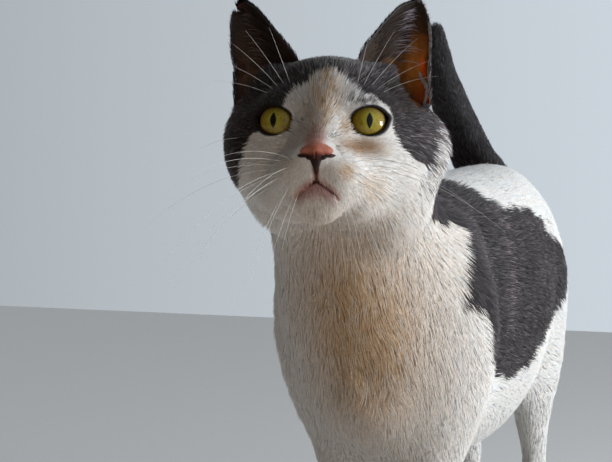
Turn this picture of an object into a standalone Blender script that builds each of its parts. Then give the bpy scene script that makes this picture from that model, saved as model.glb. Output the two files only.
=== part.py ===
"""A standing short-haired cat, life size, as a still museum model.

The body is modelled whole: tubes of changing oval section carry the trunk, neck, legs and
tail, ellipsoids carry the masses of the head and paws, and voxel remeshes blend them. Thin
cuts then part it into the pieces that a person would name. Every size is taken over the coat,
out to the tips of the fur. The cat faces -Y, its left side is +X, +Z is up, and the floor is
at Z = 0. The origin lies on the floor under the middle of the whole cat.
"""

import math

import bpy
from mathutils import Euler, Matrix, Vector
from mathutils.bvhtree import BVHTree

# Driving dimensions, in metres and degrees. Places along the body are first measured from the
# middle of the back, and BODY_PLACE then brings them all to the origin of the part.
TRUNK_LENGTH = 0.345  # prosternum to buttock
WITHERS_HEIGHT = 0.247
EYE_HEIGHT = 0.283
EYE_FORWARD = 0.22425  # ahead of the middle of the back
HEAD_ASIDE = 0.0022  # the head is carried a little to the cat's left
HEAD_YAW = 13.0  # turned to the cat's left
HEAD_PITCH = 14.0  # nose lifted
HIND_STEP = {1: -0.022, -1: 0.010}  # how far each hind foot stands from square, along Y
BODY_PLACE = Vector((0.0080, -0.0245, 0.0))

EYEBALL_RADIUS = 0.0110
EYE_SPACING = 0.041  # between the centres of the eyeballs
EYE_TOE = 0.0018  # how far the opening of the lids lies outside the centre of its eyeball
EYE_OPENING = (0.0087, 0.0110, 0.0074)  # half its width, its depth and half its height
EAR_WALL = 0.0026
EAR_COLUMNS, EAR_ROWS = 6, 10
# Depth of the ear's cup at its base and tip, and height of its rounded top, in millimetres
EAR_CUP, EAR_TIP_CUP, EAR_DOME = 14.0, 0.8, 1.3
EAR_CUP_FADE, EAR_DOME_FADE = 0.8, 6
WHISKER_RADIUS = 0.0003

CUT_WIDTH = 0.00035  # thin cut between two pieces
SEAT_GAP = 0.0004  # clearance of an eye, ear, nose or whisker in its seat
PAW_CUT = 0.030  # height at which the paws are parted from the legs

SIDES = ((1, "left"), (-1, "right"))
MILLIMETRE = 0.001
# The inner and outer edge of each ear from base to tip, in the head's frame, in millimetres out
# to the ear's own side. The left ear is turned more to the front, so it shows wider.
EAR_EDGES = {
    1: (
        ((12.5, 21, 27), (16, 21.5, 41), (21.5, 23.5, 49.6), (27, 27, 58), (33, 29.5, 65), (39, 32, 68.6)),
        ((47.5, 31, 8), (48.8, 31, 21), (47.8, 32, 34), (48.4, 33, 47), (47.2, 33.5, 59), (43.8, 34, 68)),
    ),
    -1: (
        ((13, 21, 26), (17, 21, 38), (23.1, 23.5, 46.7), (30, 27, 55.3), (37, 30.5, 64), (42.5, 32, 68.2)),
        ((46.5, 31, 8), (47.4, 31, 21), (48.6, 32, 34.5), (50, 32.5, 47), (50.2, 33.5, 60), (47.8, 34, 68.4)),
    ),
}
# Root and direction of each whisker of a side in the head's frame, its length in metres, and how
# far it droops at its end as a share of that length
WHISKER_ROWS = (
    ((15, -24, -23), (0.78, -0.60, 0.06), 0.055, 0.30),
    ((17, -20, -24), (0.90, -0.38, 0.04), 0.064, 0.32),
    ((19, -16, -25), (0.97, -0.12, 0.00), 0.066, 0.36),
    ((14, -24, -29), (0.62, -0.62, -0.40), 0.052, 0.40),
    ((16, -20, -30), (0.80, -0.38, -0.42), 0.060, 0.42),
    ((18, -16, -31), (0.90, -0.10, -0.40), 0.058, 0.44),
)
# Half width and half length of a foot, and how far its toes reach ahead of its middle
FORE_FOOT, HIND_FOOT = (0.0142, 0.0170, 0.0125), (0.0135, 0.0210, 0.0150)
FORE_FOOT_AT, HIND_FOOT_AT = Vector((0.0200, -0.1330, 0.0)), Vector((0.0280, 0.1220, 0.0))
TOES = (-1.5, -0.5, 0.5, 1.5)
TOE_SPREAD, TOE_ARC = 0.0073, 0.0016
# Where the thin cuts lie, each a point and the direction of the piece beyond it
SKULL_FOOT, SKULL_RISE = (0.0, -0.195, 0.2605), (0.0, -0.573, 0.819)
NECK_ROOT, NECK_RISE = (0.0, -0.131, 0.206), (0.0, -0.66, 0.75)
TAIL_ROOT, TAIL_RISE = (-0.017, 0.169, 0.2315), (-0.40, 0.75, 0.52)
TAIL_MIDDLE = (-0.062, 0.244, 0.2715)
# The nose leather, in the head's frame
NOSE_CENTRE, NOSE_RADII = (0.0, -0.0285, -0.0200), (0.0082, 0.0058, 0.0066)

BODY_VOXEL, BODY_EASE, BODY_TRIANGLES = 0.0038, 24, 2070
HEAD_VOXEL, HEAD_EASE, HEAD_TRIANGLES = 0.0020, 14, 2300
PAW_VOXEL, PAW_EASE, PAW_TRIANGLES = 0.0016, 3, 210

FUR_GREY = (0.13, 0.125, 0.13, 1.0)
FUR_WHITE = (0.82, 0.79, 0.74, 1.0)
EAR_BROWN = (0.20, 0.13, 0.11, 1.0)
NOSE_PINK = (0.62, 0.32, 0.28, 1.0)
EYE_GREEN = (0.45, 0.42, 0.05, 1.0)
WHISKER_WHITE = (0.9, 0.88, 0.84, 1.0)


def clear_scene():
    for obj in list(bpy.data.objects):
        bpy.data.objects.remove(obj, do_unlink=True)


def new_collection(name):
    collection = bpy.data.collections.new(name)
    bpy.context.scene.collection.children.link(collection)
    return collection


def finish(obj, colour, roughness=0.85):
    """Gives the piece a material of its own and a smooth shade."""
    material = bpy.data.materials.new(obj.name)
    material.use_nodes = True
    shader = material.node_tree.nodes["Principled BSDF"]
    shader.inputs["Base Color"].default_value = colour
    shader.inputs["Roughness"].default_value = roughness
    shader.inputs["Metallic"].default_value = 0.0
    obj.data.materials.clear()
    obj.data.materials.append(material)
    obj.data.shade_smooth()
    obj.data.set_sharp_from_angle(angle=math.radians(35))
    return obj


def add_object(name, mesh, collection):
    obj = bpy.data.objects.new(name, mesh)
    collection.objects.link(obj)
    return obj


def add_helper(name, mesh, collection):
    """A cutter or a source shape, which is no piece of the cat."""
    obj = add_object(name, mesh, collection)
    obj.hide_render = True
    obj.display_type = "WIRE"
    return obj


def apply_modifiers(obj):
    """Gives the object the mesh that its modifiers make."""
    graph = bpy.context.evaluated_depsgraph_get()
    made = bpy.data.meshes.new_from_object(obj.evaluated_get(graph))
    obj.modifiers.clear()
    obj.data = made
    return obj


def mirrored(point, side):
    """The point on the cat's left for side 1, or on its right for side -1."""
    return Vector((point[0] * side, point[1], point[2]))


def oval_tube(name, path, collection, sides=20, steps=5, grow=0.0):
    """A closed tube with an oval section that changes along its path.

    The path is a list of (centre, half_width, half_depth). The width lies along X and the depth
    square to it and to the path. Between the stations a Catmull-Rom curve runs through centres
    and sizes alike, and both ends are rounded by shrinking rings.
    """
    rows = [[*centre, width + grow, depth + grow] for centre, width, depth in path]
    rows = [rows[0], *rows, rows[-1]]
    rings = []
    for before, start, end, after in zip(rows, rows[1:], rows[2:], rows[3:]):
        for step in range(steps):
            t = step / steps
            rings.append(
                [
                    0.5 * (2 * b + (c - a) * t + (2 * a - 5 * b + 4 * c - d) * t * t
                           + (3 * b - a - 3 * c + d) * t ** 3)
                    for a, b, c, d in zip(before, start, end, after)
                ]
            )
    rings.append(rows[-1])
    centres = [Vector(ring[:3]) for ring in rings]
    last = len(rings) - 1
    frames = []
    for i, ring in enumerate(rings):
        tangent = (centres[min(i + 1, last)] - centres[max(i - 1, 0)]).normalized()
        across = Vector((1, 0, 0))
        across = (across - across.dot(tangent) * tangent).normalized()
        frames.append((centres[i], tangent, across, tangent.cross(across), ring[3], ring[4]))
    caps = [math.radians(angle) for angle in (70, 45, 20)]
    opening = [(frames[0], -math.sin(a), math.cos(a)) for a in caps]
    closing = [(frames[-1], math.sin(a), math.cos(a)) for a in reversed(caps)]
    stack = opening + [(frame, 0.0, 1.0) for frame in frames] + closing
    points = []
    for (centre, tangent, across, deep, width, depth), push, shrink in stack:
        middle = centre + tangent * push * (width + depth) / 2
        for side in range(sides):
            angle = 2 * math.pi * side / sides
            around = across * width * math.cos(angle) + deep * depth * math.sin(angle)
            points.append(middle + around * shrink)
    faces = [list(range(sides))[::-1]]
    for ring in range(len(stack) - 1):
        base = ring * sides
        for side in range(sides):
            beside = (side + 1) % sides
            faces.append([base + side, base + beside, base + sides + beside, base + sides + side])
    faces.append([(len(stack) - 1) * sides + side for side in range(sides)])
    mesh = bpy.data.meshes.new(name)
    mesh.from_pydata(points, [], faces)
    return add_helper(name, mesh, collection)


def primitive(name, matrix, collection):
    """The primitive that was just added, shaped by a matrix and kept as a helper."""
    obj = bpy.context.object
    for owner in list(obj.users_collection):
        owner.objects.unlink(obj)
    mesh = obj.data
    bpy.data.objects.remove(obj, do_unlink=True)
    mesh.transform(matrix)
    return add_helper(name, mesh, collection)


def ellipsoid(name, centre, radii, collection, placed=Matrix.Identity(4), segments=28):
    """A sphere stretched to three radii, set by a matrix such as the head's own."""
    bpy.ops.mesh.primitive_uv_sphere_add(segments=segments, ring_count=segments // 2, radius=1.0)
    shape = Matrix.Translation(centre) @ Matrix.Diagonal((*radii, 1.0))
    return primitive(name, placed @ shape, collection)


def block(name, foot, up, size, collection, grow=0.0):
    """A cube that stands on its foot point along the up direction, set lower to grow it."""
    bpy.ops.mesh.primitive_cube_add(size=size, location=(0, 0, 0))
    turn = Vector(up).to_track_quat("Z", "Y").to_matrix().to_4x4()
    lift = Matrix.Translation((0, 0, size / 2 - grow))
    return primitive(name, Matrix.Translation(foot) @ turn @ lift, collection)


def blended(name, shapes, voxel, easing, triangles, collection):
    """One skin over overlapping shapes: a voxel remesh, eased creases and thinned triangles."""
    points, faces = [], []
    for shape in shapes:
        start = len(points)
        points += [vertex.co.copy() for vertex in shape.data.vertices]
        faces += [[start + index for index in face.vertices] for face in shape.data.polygons]
    mesh = bpy.data.meshes.new(name)
    mesh.from_pydata(points, [], faces)
    obj = add_helper(name, mesh, collection)
    remesh = obj.modifiers.new("Remesh", "REMESH")
    remesh.mode = "VOXEL"
    remesh.voxel_size = voxel
    ease = obj.modifiers.new("Smooth", "SMOOTH")
    ease.factor = 0.5
    ease.iterations = easing
    apply_modifiers(obj)
    thin = obj.modifiers.new("Decimate", "DECIMATE")
    thin.ratio = triangles / (2 * len(obj.data.polygons))
    return apply_modifiers(obj)


def trimmed(obj, cutter, operation="DIFFERENCE"):
    """The shape with the cutter taken away, or only what lies inside the cutter."""
    boolean = obj.modifiers.new("Cut", "BOOLEAN")
    boolean.operation = operation
    boolean.object = cutter
    boolean.solver = "EXACT"
    return apply_modifiers(obj)


def parted(obj, name, zone, cat):
    """Splits off what lies inside a zone, with a thin cut between the two pieces.

    The zone is a function that makes the cutter, grown by a given width.
    """
    piece = add_object(name, obj.data.copy(), cat)
    trimmed(piece, zone(0.0), "INTERSECT")
    trimmed(obj, zone(CUT_WIDTH))
    return piece


def head_matrix():
    """Places the head's own frame: origin midway between the eyeballs, nose along -Y."""
    turn = Euler((math.radians(-HEAD_PITCH), 0.0, math.radians(HEAD_YAW)), "XYZ")
    place = BODY_PLACE + Vector((HEAD_ASIDE, -EYE_FORWARD, EYE_HEIGHT))
    return Matrix.Translation(place) @ turn.to_matrix().to_4x4()


def placed(path):
    return [(centre + BODY_PLACE, width, depth) for centre, width, depth in path]


def trunk_path():
    """Stations from the chest to the rump: the top line is level and the belly tucks up."""
    front = -0.140
    top = WITHERS_HEIGHT
    rows = (
        # share of the length, height of the top, depth, width
        (0.00, top - 0.040, 0.080, 0.062),
        (0.07, top - 0.014, 0.126, 0.086),
        (0.17, top, 0.155, 0.102),
        (0.31, top + 0.002, 0.163, 0.108),
        (0.47, top + 0.002, 0.164, 0.112),
        (0.62, top + 0.002, 0.147, 0.100),
        (0.72, top + 0.001, 0.134, 0.086),
        (0.80, top - 0.005, 0.113, 0.072),
    )
    return placed(
        (Vector((0.0, front + share * TRUNK_LENGTH, high - depth / 2)), width / 2, depth / 2)
        for share, high, depth, width in rows
    )


def neck_path():
    """From the base of the skull down the throat into the chest, between the shoulders."""
    return placed(
        (
            (Vector((0.003, -0.190, 0.274)), 0.040, 0.036),
            (Vector((-0.001, -0.174, 0.251)), 0.0435, 0.044),
            (Vector((-0.003, -0.156, 0.225)), 0.0430, 0.050),
            (Vector((-0.002, -0.135, 0.198)), 0.0490, 0.058),
            (Vector((0.000, -0.122, 0.165)), 0.0500, 0.049),
            (Vector((0.000, -0.106, 0.132)), 0.0380, 0.034),
        )
    )


def foreleg_path(side):
    """Shoulder blade, shoulder, elbow, forearm, wrist and pastern."""
    return placed(
        (
            (mirrored((0.019, -0.090, 0.214), side), 0.019, 0.026),
            (mirrored((0.033, -0.111, 0.184), side), 0.0230, 0.034),
            (mirrored((0.0330, -0.108, 0.148), side), 0.0200, 0.031),
            (mirrored((0.0262, -0.106, 0.114), side), 0.0163, 0.0215),
            (mirrored((0.0215, -0.114, 0.078), side), 0.0130, 0.0140),
            (mirrored((0.0200, -0.119, 0.044), side), 0.0112, 0.0118),
            (mirrored((0.0200, -0.125, 0.021), side), 0.0120, 0.0115),
        )
    )


def hindleg_path(side, step):
    """Hip, thigh, knee, shank, hock and metatarsus, with the foot moved along Y by the step."""
    return placed(
        (
            (mirrored((0.0155, 0.118, 0.206), side), 0.0130, 0.036),
            (mirrored((0.0240, 0.118, 0.180), side), 0.0170, 0.046),
            (mirrored((0.0285, 0.112, 0.150), side), 0.0165, 0.043),
            (mirrored((0.0305, 0.107 + step * 0.3, 0.121), side), 0.0160, 0.028),
            (mirrored((0.0285, 0.121 + step * 0.6, 0.093), side), 0.0115, 0.0180),
            (mirrored((0.0255, 0.147 + step, 0.067), side), 0.0078, 0.0130),
            (mirrored((0.0260, 0.144 + step, 0.042), side), 0.0086, 0.0105),
            (mirrored((0.0275, 0.137 + step, 0.022), side), 0.0112, 0.0115),
        )
    )


def tail_path():
    """Carried up and back, swung to the cat's right, with a slow upward bend at the tip."""
    return placed(
        (
            (Vector((0.000, 0.120, 0.208)), 0.0190, 0.0190),
            (Vector((-0.008, 0.156, 0.2240)), 0.0165, 0.0165),
            (Vector((-0.029, 0.184, 0.2430)), 0.0150, 0.0150),
            (Vector((-0.0455, 0.214, 0.2585)), 0.0145, 0.0145),
            (Vector((-0.060, 0.244, 0.2715)), 0.0140, 0.0140),
            (Vector((-0.0735, 0.274, 0.2850)), 0.0130, 0.0130),
            (Vector((-0.086, 0.302, 0.2995)), 0.0115, 0.0115),
            (Vector((-0.0955, 0.327, 0.3150)), 0.0098, 0.0098),
            (Vector((-0.101, 0.342, 0.3285)), 0.0072, 0.0072),
        )
    )


def bridge_path():
    """From the tip of the nose up between the eyes to the forehead, in the head's frame."""
    rows = (
        ((0, -27.0, -19.5), 6.8, 6.2),
        ((0, -20.0, -13.0), 8.0, 7.5),
        ((0, -11.5, -3.5), 9.5, 9.0),
        ((0, -2.0, 9.0), 14.0, 11.0),
        ((0, 10.0, 19.0), 19.0, 13.0),
    )
    return [(Vector(centre) / 1000, width / 1000, depth / 1000) for centre, width, depth in rows]


def head_masses(head, collection):
    """Skull, cheeks, muzzle and chin, as ellipsoids in the head's own frame, in millimetres."""
    single = {
        "cranium": ((0, 25, 6), (40, 34, 33)),
        "face": ((0, 24, -5), (48, 29.5, 31)),
        "muzzle": ((0, -9, -25), (18, 19, 13.5)),
        "chin": ((0, -12, -39), (12.5, 13, 11)),
        "ruff_left": ((31, 38, -4), (28.5, 24, 25)),
        "ruff_right": ((-27, 36, 1), (26.3, 24, 24)),
        "bib_left": ((27, 36, -24), (23, 24, 28)),
        "bib_right": ((-23, 34, -14), (22.5, 23, 32)),
    }
    paired = {
        "cheek": ((25, 17, -11), (23.5, 25, 25)),
        "jaw": ((13, 8, -28), (19, 25, 18)),
        "whisker_pad": ((9.0, -16, -27.5), (12.5, 14, 11.5)),
        "brow": ((15, 1, 8), (14, 9.5, 9)),
        "under_eye": ((17, 1, -16), (16, 12, 13)),
        "ear_base": ((28.5, 25, 20), (17, 13, 15)),
        "lids": ((20.5, 0, 0), (13, 13, 13)),
    }
    masses = [(name, Vector(centre), radii) for name, (centre, radii) in single.items()]
    for name, (centre, radii) in paired.items():
        masses += [(name, mirrored(centre, side), radii) for side in (1, -1)]
    bridge = oval_tube("bridge_form", bridge_path(), collection)
    bridge.data.transform(head)
    return [bridge] + [
        ellipsoid(name, centre * MILLIMETRE, [r * MILLIMETRE for r in radii], collection, head)
        for name, centre, radii in masses
    ]


def paw_masses(side, fore, collection):
    """The foot, its four toes spread in an arc, and the pad under them."""
    wide, long, reach = FORE_FOOT if fore else HIND_FOOT
    step = Vector((0.0, 0.0 if fore else HIND_STEP[side], 0.0))
    middle = mirrored(FORE_FOOT_AT if fore else HIND_FOOT_AT, side) + BODY_PLACE + step
    shapes = [
        ellipsoid("foot_form", middle + Vector((0, 0.004, 0.0118)), (wide, long, 0.0110), collection),
        ellipsoid("pad_form", middle + Vector((0, 0.001, 0.0050)), (wide, long, 0.0062), collection),
    ]
    for toe in TOES:
        place = Vector((toe * TOE_SPREAD, TOE_ARC * toe * toe - reach, 0.0072))
        shapes.append(ellipsoid("toe_form", middle + place, (0.0049, 0.0090, 0.0080), collection))
    return shapes


def ear(name, side, head, collection):
    """A pinna: a curled sheet between an inner and an outer edge that meet at the rounded tip."""
    inner_edge, outer_edge = EAR_EDGES[side]
    spans = len(inner_edge) - 1
    rows = []
    for j in range(EAR_ROWS + 1):
        v = j / EAR_ROWS
        span = min(int(v * spans), spans - 1)
        share = v * spans - span
        inner = Vector(inner_edge[span]).lerp(Vector(inner_edge[span + 1]), share)
        outer = Vector(outer_edge[span]).lerp(Vector(outer_edge[span + 1]), share)
        cup = EAR_CUP * (1 - v) ** EAR_CUP_FADE + EAR_TIP_CUP
        for i in range(EAR_COLUMNS + 1):
            bow = math.sin(math.pi * i / EAR_COLUMNS)
            dome = EAR_DOME * bow * v ** EAR_DOME_FADE
            point = inner.lerp(outer, i / EAR_COLUMNS) + Vector((0, cup * bow, dome))
            rows.append(head @ (mirrored(point, side) * MILLIMETRE))
    faces = []
    for j in range(EAR_ROWS):
        for i in range(EAR_COLUMNS):
            a = j * (EAR_COLUMNS + 1) + i
            quad = [a, a + 1, a + EAR_COLUMNS + 2, a + EAR_COLUMNS + 1]
            faces.append(quad if side > 0 else quad[::-1])
    mesh = bpy.data.meshes.new(name)
    mesh.from_pydata(rows, [], faces)
    obj = add_object(name, mesh, collection)
    wall = obj.modifiers.new("Solidify", "SOLIDIFY")
    wall.thickness = EAR_WALL
    wall.offset = 0.0
    return apply_modifiers(obj)


def seat_of(obj, clearance, collection):
    """A copy that stands out by a small clearance, to cut a neighbour's seat with."""
    copy = add_helper(obj.name + "_seat", obj.data.copy(), collection)
    grow = copy.modifiers.new("Displace", "DISPLACE")
    grow.strength = clearance
    grow.mid_level = 0.0
    return apply_modifiers(copy)


def whisker(name, root, direction, length, droop, collection):
    """A thin round hair that leaves its pad straight and bends down along its length."""
    curve = bpy.data.curves.new(name, "CURVE")
    curve.dimensions = "3D"
    curve.bevel_depth = WHISKER_RADIUS
    curve.bevel_resolution = 0
    curve.use_fill_caps = True
    spline = curve.splines.new("POLY")
    steps = 5
    spline.points.add(steps)
    for i, point in enumerate(spline.points):
        t = i / steps
        place = root + direction * length * t + Vector((0, 0, -droop * length * t * t))
        point.co = (*place, 1.0)
    return add_object(name, curve, collection)


def whiskers(side, tag, skin, head, collection):
    """Six whiskers a side, in two rows, rooted just off the surface of the pad."""
    surface = BVHTree.FromPolygons(
        [vertex.co for vertex in skin.data.vertices],
        [list(face.vertices) for face in skin.data.polygons],
    )
    for number, (root, direction, length, droop) in enumerate(WHISKER_ROWS, 1):
        nominal = head @ (mirrored(root, side) * MILLIMETRE)
        course = (head.to_3x3() @ mirrored(direction, side)).normalized()
        far = nominal + course * 0.03
        foot = surface.ray_cast(far, -course)[0]
        start = foot + course * (SEAT_GAP + WHISKER_RADIUS)
        hair = whisker(f"whisker_{tag}_{number}", start, course, length, droop, collection)
        graph = bpy.context.evaluated_depsgraph_get()
        mesh = bpy.data.meshes.new_from_object(hair.evaluated_get(graph))
        bpy.data.objects.remove(hair, do_unlink=True)
        finish(add_object(f"whisker_{tag}_{number}", mesh, collection), WHISKER_WHITE, 0.4)


def foreleg_zone(side):
    """Room round a whole foreleg: it bounds the shoulder on the trunk and passes the floor."""
    return placed(
        (
            (mirrored((0.034, -0.106, 0.204), side), 0.024, 0.034),
            (mirrored((0.036, -0.109, 0.180), side), 0.029, 0.042),
            (mirrored((0.035, -0.108, 0.140), side), 0.029, 0.042),
            (mirrored((0.028, -0.108, 0.105), side), 0.024, 0.036),
            (mirrored((0.024, -0.115, 0.070), side), 0.021, 0.030),
            (mirrored((0.024, -0.120, -0.020), side), 0.021, 0.034),
        )
    )


def hindleg_zone(side, step):
    """Room round a whole hind leg, from the hip down past the floor."""
    return placed(
        (
            (mirrored((0.030, 0.116, 0.212), side), 0.024, 0.040),
            (mirrored((0.036, 0.116, 0.182), side), 0.030, 0.052),
            (mirrored((0.036, 0.110, 0.150), side), 0.030, 0.052),
            (mirrored((0.034, 0.107 + step * 0.3, 0.116), side), 0.028, 0.042),
            (mirrored((0.030, 0.121 + step * 0.6, 0.090), side), 0.0245, 0.038),
            (mirrored((0.028, 0.145 + step, 0.060), side), 0.0225, 0.038),
            (mirrored((0.028, 0.137 + step, -0.020), side), 0.0225, 0.050),
        )
    )


def part_body(whole, cat, cutters):
    """Parts the blended body into neck, tail, legs and trunk. The head is already gone."""

    def plane_zone(foot, up, size):
        return lambda grow: block("zone", BODY_PLACE + Vector(foot), up, size, cutters, grow)

    def tube_zone(path):
        return lambda grow: oval_tube("zone", path, cutters, sides=14, steps=2, grow=grow)

    neck = parted(whole, "neck", plane_zone(NECK_ROOT, NECK_RISE, 0.25), cat)
    tail = parted(whole, "tail_root", plane_zone(TAIL_ROOT, TAIL_RISE, 0.26), cat)
    tip = parted(tail, "tail_end", plane_zone(TAIL_MIDDLE, TAIL_RISE, 0.20), cat)
    pieces = [neck, tail, tip]
    for side, tag in SIDES:
        pieces.append(parted(whole, "foreleg_" + tag, tube_zone(foreleg_zone(side)), cat))
        zone = tube_zone(hindleg_zone(side, HIND_STEP[side]))
        pieces.append(parted(whole, "hindleg_" + tag, zone, cat))
    trunk = add_object("trunk", whole.data, cat)
    for piece in pieces + [trunk]:
        finish(piece, FUR_GREY if piece in (tail, tip) else FUR_WHITE)


def make_paws(cat, cutters):
    """Four paws with flat soles, parted from their legs at one height."""
    floor = block("floor", (0, 0, 0), (0, 0, -1), 0.6, cutters)
    above = block("above", (0, 0, PAW_CUT), (0, 0, 1), 0.6, cutters)
    for side, tag in SIDES:
        for fore in (True, False):
            path = foreleg_path(side) if fore else hindleg_path(side, HIND_STEP[side])
            shapes = paw_masses(side, fore, cutters)
            shapes.append(oval_tube("pastern_form", path[-3:], cutters))
            name = ("forepaw_" if fore else "hindpaw_") + tag
            form = blended(name + "_form", shapes, PAW_VOXEL, PAW_EASE, PAW_TRIANGLES, cutters)
            paw = add_object(name, form.data, cat)
            trimmed(paw, floor)
            trimmed(paw, above)
            finish(paw, FUR_WHITE)


def fit_face(skull, head, cat, cutters):
    """Seats the eyeballs, the nose leather and the ears in the head, each with a clearance."""
    nose_centre, nose_radii = Vector(NOSE_CENTRE), Vector(NOSE_RADII)
    gap = Vector((SEAT_GAP, SEAT_GAP, SEAT_GAP))
    trimmed(skull, ellipsoid("nose_seat", nose_centre, nose_radii + gap, cutters, head))
    nose = ellipsoid("nose_form", nose_centre, nose_radii, cutters, head, segments=12)
    finish(add_object("nose", nose.data, cat), NOSE_PINK, 0.45)
    for side, tag in SIDES:
        pupil = Vector((side * EYE_SPACING / 2, 0.0, 0.0))
        opening = pupil + Vector((side * EYE_TOE, -EYEBALL_RADIUS, 0.0))
        socket_radii = [EYEBALL_RADIUS + SEAT_GAP] * 3
        trimmed(skull, ellipsoid("socket", pupil, socket_radii, cutters, head, segments=20))
        trimmed(skull, ellipsoid("opening", opening, EYE_OPENING, cutters, head, segments=20))
        ball = ellipsoid("ball", pupil, [EYEBALL_RADIUS] * 3, cutters, head, segments=14)
        finish(add_object("eyeball_" + tag, ball.data, cat), EYE_GREEN, 0.05)
    seat = seat_of(skull, SEAT_GAP, cutters)
    for side, tag in SIDES:
        finish(trimmed(ear("ear_" + tag, side, head, cat), seat), EAR_BROWN)


def main():
    clear_scene()
    cat = new_collection("cat")
    cutters = new_collection("cutters")
    head = head_matrix()
    masses = head_masses(head, cutters)
    forms = [
        oval_tube("trunk_form", trunk_path(), cutters),
        oval_tube("neck_form", neck_path(), cutters),
        oval_tube("tail_form", tail_path(), cutters),
    ]
    for side, _tag in SIDES:
        forms.append(oval_tube("foreleg_form", foreleg_path(side), cutters))
        forms.append(oval_tube("hindleg_form", hindleg_path(side, HIND_STEP[side]), cutters))
    whole = blended("whole", forms + masses, BODY_VOXEL, BODY_EASE, BODY_TRIANGLES, cutters)
    fine = blended("fine", forms[:2] + masses, HEAD_VOXEL, HEAD_EASE, HEAD_TRIANGLES, cutters)
    ground = block("ground", (0, 0, PAW_CUT + CUT_WIDTH), (0, 0, -1), 0.6, cutters)
    trimmed(whole, ground)
    skull_foot = BODY_PLACE + Vector(SKULL_FOOT)
    trimmed(whole, block("zone", skull_foot, SKULL_RISE, 0.2, cutters, CUT_WIDTH))
    skull = add_object("head", fine.data, cat)
    trimmed(skull, block("zone", skull_foot, SKULL_RISE, 0.2, cutters), "INTERSECT")
    for side, tag in SIDES:
        whiskers(side, tag, skull, head, cat)
    part_body(whole, cat, cutters)
    make_paws(cat, cutters)
    fit_face(skull, head, cat, cutters)
    finish(skull, FUR_WHITE)


main()
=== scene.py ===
"""A standing short-haired cat, life size: the finish of the hide, coat, eyes, nose, ears and whiskers."""
import math

import bmesh
import bpy
import numpy as np
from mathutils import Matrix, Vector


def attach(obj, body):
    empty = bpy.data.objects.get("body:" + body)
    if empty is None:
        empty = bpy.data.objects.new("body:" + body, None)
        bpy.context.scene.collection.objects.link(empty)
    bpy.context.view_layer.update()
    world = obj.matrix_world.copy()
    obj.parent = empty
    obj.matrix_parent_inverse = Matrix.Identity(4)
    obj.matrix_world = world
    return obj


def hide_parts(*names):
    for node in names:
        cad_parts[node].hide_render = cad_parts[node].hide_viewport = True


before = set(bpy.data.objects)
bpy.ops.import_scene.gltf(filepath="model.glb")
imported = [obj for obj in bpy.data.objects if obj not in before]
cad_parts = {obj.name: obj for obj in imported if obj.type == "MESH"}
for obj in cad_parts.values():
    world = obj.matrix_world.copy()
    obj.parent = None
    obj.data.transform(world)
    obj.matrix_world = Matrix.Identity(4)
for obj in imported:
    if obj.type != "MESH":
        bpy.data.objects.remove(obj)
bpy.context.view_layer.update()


# ---- Hide -------------------------------------------------------------------------------------
# One continuous hide covers the head, neck, trunk, legs and tail, and lies under the coat's tips
# by the depth of the hair. It is the zero surface of a distance worked out from swept limbs and
# rounded muscles. Lengths are millimetres: x to the animal's left, y to its back, z up.

MM = 0.001
FAR = 60.0
MARGIN = 16.0
NUDGE = 1e-6
SOFT_CORE = 0.05
BODY_SHIFT = np.array((8.0, -24.5, 0.0))
HEAD_AT = np.array((10.2, -248.75, 283.0))
HEAD_YAW = math.radians(13.0)
HEAD_PITCH = math.radians(-14.0)


def head_turn():
    """The head's axes as columns: a turn about the upright, after a lift of the nose about the ear line."""
    cz, sz = math.cos(HEAD_YAW), math.sin(HEAD_YAW)
    cx, sx = math.cos(HEAD_PITCH), math.sin(HEAD_PITCH)
    yaw = np.array(((cz, -sz, 0), (sz, cz, 0), (0, 0, 1)))
    pitch = np.array(((1, 0, 0), (0, cx, -sx), (0, sx, cx)))
    return yaw @ pitch


HEAD_TURN = head_turn()


def to_head(points):
    """Points in the head's own frame, from midway between the eyes."""
    return (points - HEAD_AT) @ HEAD_TURN


def from_head(points):
    """Points of the head's own frame, put back in the body's."""
    return np.asarray(points, float) @ HEAD_TURN.T + HEAD_AT


def ramp(value, start, end):
    """0 before start, 1 after end, and a smooth cubic between them."""
    t = np.clip((value - start) / (end - start), 0.0, 1.0)
    return t * t * (3.0 - 2.0 * t)


def near_to(points, place, start, end, stretch=1.0):
    """1 within start of a place and 0 beyond end, its offset divided by the stretch along each axis."""
    return 1 - ramp(np.linalg.norm((points - np.asarray(place)) / stretch, axis=1), start, end)


def joined(a, b, ease):
    """The nearer of two distances, with a fillet of that width where they meet."""
    overlap = np.maximum(ease - np.abs(a - b), 0.0)
    return np.minimum(a, b) - overlap * overlap / (4.0 * ease)


def carved(a, b, ease):
    """Distance a with the inside of b taken away, with a rounded edge of that width."""
    return -joined(-a, b, ease)


def smooth_run(stations, steps):
    """A Catmull-Rom curve through the stations, each span cut into equal steps."""
    p = np.asarray(stations, float)
    p = np.vstack((2 * p[0] - p[1], p, 2 * p[-1] - p[-2]))
    t = np.linspace(0.0, 1.0, steps, endpoint=False)[:, None]
    spans = []
    for before, start, end, after in zip(p[:-3], p[1:-2], p[2:-1], p[3:]):
        slope = end - before
        bend = 2 * before - 5 * start + 4 * end - after
        twist = 3 * start - 3 * end + after - before
        spans.append(start + 0.5 * (slope * t + bend * t**2 + twist * t**3))
    return np.vstack(spans + [p[-2:-1]])


def within(points, low, high):
    """Which of the points lie inside a box."""
    x, y, z = points.T
    wide = (x > low[0]) & (x < high[0]) & (y > low[1]) & (y < high[1])
    return np.flatnonzero(wide & (z > low[2]) & (z < high[2]))


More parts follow.
